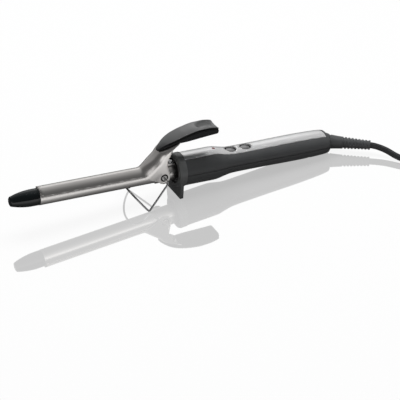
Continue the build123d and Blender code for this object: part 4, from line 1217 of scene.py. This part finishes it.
class IRON_OT_handle(bpy.types.Operator):
    """Housings and the silver cover strip"""

    bl_idname = "iron.handle"
    bl_label = "Handle"

    def execute(self, context):
        seam = context.scene.iron_sizes.seam
        upper_rings, lower_rings, cover_rings = [], [], []
        for station in handle_stations():
            half = [size - end_inset(station) for size in handle_half(station)]
            upper_rings.append(self.upper_ring(station, half, seam))
            lower_rings.append(self.lower_ring(station, half, seam))
            if station <= COVER_BACK - 1.0:
                cover_rings.append(self.cover_ring(station, half))
        for before, depth in COVER_END:
            station = COVER_BACK - before
            cover_rings.append(self.cover_ring(station, handle_half(station), depth))
        upper = mesh_piece("handle_upper", skin(upper_rings), "handle", "dark_housing", ("upper_housing",))
        lower = mesh_piece("handle_lower", skin(lower_rings), "handle", "dark_housing", ("lower_housing",))
        cover = mesh_piece("handle_cover", skin(cover_rings), "handle", "silver_cover", ("top_cover",))
        tail = mesh_piece("tail_socket", skin(self.tail_rings()), "handle", "dark_housing")
        holes = [post(station, 0, *HOLE_HEIGHTS, BUTTON_HOLE, 64) for station in BUTTON_STATIONS]
        cut(upper, *holes, post(LENS_STATION, 0, *HOLE_HEIGHTS, LENS_HOLE))
        cut(cover, *holes, post(LENS_STATION, 0, *HOLE_HEIGHTS, LENS_COVER_HOLE))
        cut(cover, *map(self.rim, BUTTON_STATIONS))
        soften(cover, COVER_EDGE, segments=3, angle=45, sharp=50)
        for piece in (upper, lower, tail):
            cut(piece, self.socket())
            shade(piece.data, SHARP)
        cut(lower, *[post(station, side, *WELL_HEIGHTS, SCREW_WELL) for station, side in HOUSING_SCREWS])
        dress_node("housing_screws", SCREW_EDGE)
        return {"FINISHED"}

    def upper_ring(self, station, half, seam):
        """Closed ring of the upper housing, with the cover's seat in its top."""
        seat = COVER_HALF_WIDTH + SEAT_PLAY
        edge = acos(min(1.0, seat / half[0]))
        first = seam / half[1]
        outer = [oval(half, angle) for angle in span(first + SEAM_RUN, edge - SEAT_EDGE_RUN, 14)]
        outer = [oval(half, first, SEAM_DEPTH), *outer, oval(half, edge, SEAT_EDGE_DEPTH)]
        deep = SEAT_DEPTH if station < COVER_BACK else SEAT_RUNOUT
        bottom = arch(half, acos(min(1.0, seat / (half[0] - deep))), deep, 17)
        wall = arch(half, WALL_RUN, HOUSING_WALL, 21)
        ring = [*outer, *bottom, *[(-side, height) for side, height in reversed(outer)], *reversed(wall)]
        return [at(station, *point) for point in ring]

    def lower_ring(self, station, half, seam):
        """Closed ring of the lower housing."""
        first = seam / half[1]
        outer = arch(half, first + SEAM_RUN, 0.0, 33)
        outer = [oval(half, first, SEAM_DEPTH), *outer, oval(half, pi - first, SEAM_DEPTH)]
        wall = arch(half, WALL_RUN, HOUSING_WALL, 21)
        return [on_floor(at(station, side, -height)) for side, height in [*outer, *reversed(wall)]]

    def cover_ring(self, station, half, depth=0.0):
        """Closed ring of the cover strip, its top at a depth below the skin."""
        top = arch(half, acos(COVER_HALF_WIDTH / half[0]), depth, 25)
        low = arch(half, acos(COVER_HALF_WIDTH / (half[0] - COVER_THICKNESS)), COVER_THICKNESS, 25)
        return [at(station, *point) for point in [*top, *reversed(low)]]

    def tail_rings(self):
        """Rings of the block in the tail."""
        rings = []
        for station in TAIL_STATIONS:
            half = handle_half(station)
            rings.append([at(station, *oval(half, angle, TAIL_DEPTH)) for angle in span(0, 2 * pi, 49)[:-1]])
        return rings

    def rim(self, station):
        """Countersink of a button's hole, as a shape."""
        top = handle_half(station)[1]
        cone = [(top + height, radius) for height, radius in COUNTERSINK]
        return turned(cone, AXIS_START + ALONG * station, UPWARD, ALONG, 64)

    def socket(self):
        """Ball that leaves the boot's socket, as a shape."""
        radius = BALL_RADIUS + BALL_PLAY
        outline = [(-radius * cos(angle), radius * sin(angle)) for angle in span(0.02, pi - 0.02, 33)]
        return turned(outline, BALL, ALONG, SIDE, 64)


# Bodies and CAD nodes of the buttons, from the front
BUTTONS = (("button_front", "front_button"), ("button_rear", "rear_button"))
# Button: height above the axis, radius; above it a dome
BUTTON_OUTLINE = (
    (6.2, POLE),
    (6.2, 1.6),
    (6.8, 1.6),
    (6.8, 6.0),
    (7.7, 6.0),
    (7.7, 4.95),
    (8.2, 4.95),
    (8.2, 4.6),
    (9.95, 4.6),
    (10.2, 4.5),
    (10.35, 4.3),
)
BUTTON_TOP = 10.95
BUTTON_DOME = 0.6
BUTTON_DOME_RADIUS = 4.2
LENS_FOOT = 6.7
LENS_RADIUS = 1.5
LENS_SINK = 0.15
LENS_DOME = 0.4


class IRON_OT_controls(bpy.types.Operator):
    """Push buttons and indicator lens"""

    bl_idname = "iron.controls"
    bl_label = "Buttons and lens"

    def execute(self, context):
        outline = list(BUTTON_OUTLINE)
        for share in span(0.95, 0.0, 12):
            outline.append((BUTTON_TOP - BUTTON_DOME * share**2, max(BUTTON_DOME_RADIUS * share, POLE)))
        for station, (body, node) in zip(BUTTON_STATIONS, BUTTONS):
            cap = turned(outline, AXIS_START + ALONG * station, UPWARD, ALONG, 64)
            mesh_piece(f"{node}_cap", cap, body, "button_grey", (node,))
        brim = handle_half(LENS_STATION)[1] - LENS_SINK
        outline = [(LENS_FOOT, POLE), (LENS_FOOT, LENS_RADIUS), (brim, LENS_RADIUS)]
        for turn in span(0.05 * pi, 0.5 * pi, 8):
            outline.append((brim + LENS_DOME * sin(turn), max(LENS_RADIUS * cos(turn), POLE)))
        window = turned(outline, AXIS_START + ALONG * LENS_STATION, UPWARD, ALONG, 32)
        mesh_piece("indicator_window", window, "handle", "lens_red", ("indicator_lens",))
        return {"FINISHED"}


# Boot: reaches from the ball's centre of its sleeve's base and end, and of its own end
BOOT_BASE = 5.4
BOOT_PLAIN_END = 18.0
BOOT_REACH = 44.0
# Outer radius of the boot by its reach from the ball's centre
BOOT_OUTLINE = (
    (5.4, 6.9),
    (8.0, 6.6),
    (11.0, 6.3),
    (15.0, 5.95),
    (19.0, 5.7),
    (27.0, 5.25),
    (34.0, 4.85),
    (44.0, 4.5),
)
# Turn, in radians, at which the ball meets the sleeve
BALL_TURN = pi - 1.05
# Edge of the plain sleeve at the ball: reach from its base, radius
SLEEVE_EDGE = ((-0.7, 6.3), (0.0, 6.3), (0.0, 6.65), (0.15, 6.85))
SLEEVE_LIP = 5.4
# Core under the ribs: radius at its front and back, distance of its back from the boot's end
CORE_RADII = (4.9, 3.75)
CORE_SHORT = 0.5
BOOT_BORE = 3.12
BOOT_BORE_END = 24.0
BOOT_RIBS = 8
RIB_WIDTH = 2.05
RIB_FOOT = 3.3
RIB_EDGE = 0.35
# Spines: reaches of their ends, inner radius, depth below the ribs, half thickness
SPINE_ENDS = (BOOT_PLAIN_END - 0.8, BOOT_REACH - 0.7)
SPINE_FOOT = 3.4
SPINE_DEPTH = 0.2
SPINE_HALF = 0.9
# Chamfer of a spine: inward and along its thickness
SPINE_CHAMFER = (0.25, 0.3)


def boot_radius(reach):
    """Outer radius of the boot."""
    return smooth_between(BOOT_OUTLINE, reach, 1)


class IRON_OT_boot(bpy.types.Operator):
    """Ball swivel with its slotted boot"""

    bl_idname = "iron.boot"
    bl_label = "Cord boot"

    def execute(self, context):
        across = BOOT_ALONG.cross(Vector((0, 0, 1))).normalized()
        parts = [turned(self.core_outline(), BALL, BOOT_ALONG, across, 64)]
        pitch = (BOOT_REACH - BOOT_PLAIN_END) / BOOT_RIBS
        for rib in range(BOOT_RIBS):
            end = BOOT_PLAIN_END + (rib + 1) * pitch
            start = end - RIB_WIDTH
            outline = rounded(
                (
                    (start, RIB_FOOT, 0),
                    (start, boot_radius(start), RIB_EDGE),
                    (end, boot_radius(end), RIB_EDGE),
                    (end, RIB_FOOT, 0),
                )
            )
            parts.append(turned(outline, BALL, BOOT_ALONG, across, 64, loop=True))
        parts += [self.spine(across), self.spine(-across)]
        mesh_piece("slotted_boot", merge(*parts), "swivel", "boot_rubber", ("swivel_boot",))
        return {"FINISHED"}

    def core_outline(self):
        """Outline of the ball, the plain sleeve, the core under the ribs and the cord's bore."""
        outline = [(-BALL_RADIUS * cos(turn), BALL_RADIUS * sin(turn)) for turn in span(0.03, BALL_TURN, 24)]
        outline += [(BOOT_BASE + reach, radius) for reach, radius in SLEEVE_EDGE]
        outline += [(reach, boot_radius(reach)) for reach in span(BOOT_BASE + 0.5, BOOT_PLAIN_END - 0.4, 8)]
        back = BOOT_REACH - CORE_SHORT
        outline += [(BOOT_PLAIN_END, SLEEVE_LIP), (BOOT_PLAIN_END, CORE_RADII[0]), (back, CORE_RADII[1])]
        return outline + [(back, BOOT_BORE), (BOOT_BORE_END, BOOT_BORE), (BOOT_BORE_END, POLE)]

    def spine(self, outward):
        """Spine that joins the ribs along one side."""
        upright = outward.cross(BOOT_ALONG)
        inward, inset = SPINE_CHAMFER
        rings = []
        for reach in SPINE_ENDS:
            high = boot_radius(reach) - SPINE_DEPTH
            edge = [(SPINE_FOOT, SPINE_HALF), (high - inward, SPINE_HALF), (high, SPINE_HALF - inset)]
            section = [(a, -b) for a, b in edge] + edge[::-1]
            rings.append([(BALL + BOOT_ALONG * reach + outward * a + upright * b) * MM for a, b in section])
        return skin(rings)


INNER_NODES = (
    "heater_upper_shell", "heater_lower_shell", "ceramic_heater", "heater_film", "thermistor", "thermal_fuse",
    "heater_leads", "heat_bush", "circuit_board", "board_screws", "button_switches", "control_chip",
    "supply_capacitor", "indicator_led", "cord_clamp", "inner_cord", "supply_leads",
)


class IRON_OT_inside(bpy.types.Operator):
    """Finishes for the pieces inside the barrel and the handle"""

    bl_idname = "iron.inside"
    bl_label = "Inner pieces"

    def execute(self, context):
        for name in INNER_NODES:
            dress_node(name)
        return {"FINISHED"}


WHITE = (1.0, 1.0, 1.0, 1.0)
# Floor: half size and height in metres, grey, blur and share of its mirror, and its glow to the camera
FLOOR_HALF = 6.0
FLOOR_HEIGHT = -0.0002
FLOOR_GREY = (0.4, 0.4, 0.4, 1.0)
FLOOR_BLUR = 0.03
FLOOR_MIRROR = 0.42
FLOOR_GLOW = 0.85
# Painted shade of the floor in the metal: its glow by share of a distance in front, dark under and behind the iron
# and bright further in front
FLOOR_REACH = 0.16
FLOOR_PAINTED_SHADE_TONES = ((0.0, 0.07), (0.03, 0.08), (0.13, 0.18), (0.21, 0.32), (0.33, 0.48), (0.5, 0.95), (0.8, 1.0))
# Brightness of the room in the metal, from its front left to its back right, and its light on all else
ROOM_TONES = (
    (0.0, 1.0),
    (0.045, 1.0),
    (0.06, 0.13),
    (0.2, 0.11),
    (0.39, 0.1),
    (0.5, 0.15),
    (0.59, 0.25),
    (0.67, 0.37),
    (0.77, 0.44),
    (1.0, 0.52),
)
ROOM_SPREAD = 0.35
ROOM_SOFT = 0.2
# White wall that the floor mirrors to the camera: its direction, and the cosines between which it fades
WALL_DIRECTION = (0.36, 0.766, 0.533)
WALL_FADE = (0.968, 0.981)
# Lamps: name, place and aim in metres, size, power
LAMPS = (
    ("overhead", (0.2, 0.35, 1.5), (0.0, 0.0, 0.0), (1.5, 0.9), 60.0),
    ("front_left", (-1.0, -1.3, 0.9), (0.0, 0.0, 0.03), (0.7, 0.7), 6.0),
)


class IRON_OT_stage(bpy.types.Operator):
    """Pale mirror-like floor, soft lights and a bright surround"""

    bl_idname = "iron.stage"
    bl_label = "Stage"

    def execute(self, context):
        self.floor()
        self.world(context.scene)
        for lamp in LAMPS:
            self.lamp(*lamp)
        return {"FINISHED"}

    def rays(self, nodes):
        """Rays that come straight from the camera, by a mirror and through glass."""
        kinds = ("Camera", "Glossy", "Transmission")
        return [nodes.make("ShaderNodeLightPath", {}, output=f"Is {kind} Ray") for kind in kinds]

    def floor(self):
        """Floor that mirrors a little, white to the camera, and in the metal a glow with painted shade, dark near
        the iron.
        """
        corners = [(-1, -1), (1, -1), (1, 1), (-1, 1)]
        mesh = bpy.data.meshes.new("floor")
        mesh.from_pydata([(x * FLOOR_HALF, y * FLOOR_HALF, 0) for x, y in corners], [], [(0, 1, 2, 3)])
        floor = put_in_scene("floor", mesh)
        floor.location.z = FLOOR_HEIGHT
        material = bpy.data.materials.new("floor")
        material.use_nodes = True
        nodes = Nodes(material.node_tree)
        straight, mirrored, through = self.rays(nodes)
        matt = nodes.make("ShaderNodeBsdfDiffuse", {}, FLOOR_GREY)
        glow = nodes.make("ShaderNodeEmission", {}, WHITE, 1.0)
        mirror = nodes.make("ShaderNodeBsdfAnisotropic", {}, WHITE, FLOOR_BLUR)
        # Painted shade: the glow that metal mirrors is dark under the iron, as its shadow would be, and bright
        # further in front.
        tone = nodes.ramp(FLOOR_PAINTED_SHADE_TONES, (nodes.coordinate("Y") / -FLOOR_REACH).clamped())
        sheen = nodes.make("ShaderNodeEmission", {}, tone, 1.0)
        plain = nodes.blend((straight + through).clamped() * FLOOR_GLOW, matt, glow)
        face = nodes.blend(FLOOR_MIRROR, plain, mirror)
        nodes.end("ShaderNodeOutputMaterial", nodes.blend(mirrored, face, sheen))
        mesh.materials.append(material)

    def world(self, scene):
        """Surround: white to the camera, toned in the metal, soft on all else."""
        world = bpy.data.worlds.new("surround")
        scene.world = world
        world.use_nodes = True
        nodes = Nodes(world.node_tree)
        straight, mirrored, through = self.rays(nodes)
        across = nodes.coordinate("X", "Generated")
        depth = nodes.coordinate("Y", "Generated")
        tone = nodes.ramp(ROOM_TONES, ((across + depth) * ROOM_SPREAD + 0.5).clamped())
        bright = nodes.make("ShaderNodeBackground", {}, WHITE, 1.0)
        room = nodes.make("ShaderNodeBackground", {}, tone, 1.0)
        soft = nodes.make("ShaderNodeBackground", {}, WHITE, ROOM_SOFT)
        direction = nodes.make("ShaderNodeTexCoord", {}, output="Generated")
        facing = {"operation": "DOT_PRODUCT"}
        towards = nodes.make("ShaderNodeVectorMath", facing, direction, WALL_DIRECTION, output="Value")
        white = (straight + through + mirrored * nodes.smooth_range(towards, *WALL_FADE)).clamped()
        nodes.end("ShaderNodeOutputWorld", nodes.blend(white, nodes.blend(mirrored, soft, room), bright))

    def lamp(self, name, place, aim, size, power):
        """Soft rectangular lamp that metal does not mirror."""
        light = bpy.data.lights.new(name, "AREA")
        light.shape = "RECTANGLE"
        light.size, light.size_y = size
        light.energy = power
        lamp = put_in_scene(name, light)
        lamp.location = place
        lamp.rotation_euler = (Vector(aim) - Vector(place)).to_track_quat("-Z", "Y").to_euler()
        lamp.visible_glossy = False


class IRON_PT_panel(bpy.types.Panel):
    """Lists the making of the iron's pieces"""

    bl_idname = "IRON_PT_panel"
    bl_label = "Curling iron"
    bl_space_type = "VIEW_3D"
    bl_region_type = "UI"
    bl_category = "Curling iron"

    def draw(self, context):
        for group in (context.scene.iron_sizes, context.scene.iron_colours):
            for name in group.__annotations__:
                self.layout.prop(group, name)
        for operator in OPERATORS:
            self.layout.operator(operator.bl_idname)


OPERATORS = (
    IRON_OT_camera,
    IRON_OT_cord,
    IRON_OT_barrel,
    IRON_OT_clip,
    IRON_OT_lever,
    IRON_OT_pivot,
    IRON_OT_stand,
    IRON_OT_guard,
    IRON_OT_handle,
    IRON_OT_controls,
    IRON_OT_boot,
    IRON_OT_inside,
    IRON_OT_stage,
)
CLASSES = (IronSizes, IronColours, *OPERATORS, IRON_PT_panel)


def register():
    for part in CLASSES:
        bpy.utils.register_class(part)
    bpy.types.Scene.iron_sizes = bpy.props.PointerProperty(type=IronSizes)
    bpy.types.Scene.iron_colours = bpy.props.PointerProperty(type=IronColours)


def unregister():
    del bpy.types.Scene.iron_colours
    del bpy.types.Scene.iron_sizes
    for part in reversed(CLASSES):
        bpy.utils.unregister_class(part)


def main():
    """Makes the finishes, all pieces and the stage."""
    register()
    make_finishes(bpy.context.scene.iron_colours)
    for operator in OPERATORS:
        group, name = operator.bl_idname.split(".")
        getattr(getattr(bpy.ops, group), name)()
    bpy.context.view_layer.update()


if __name__ == "__main__":
    main()
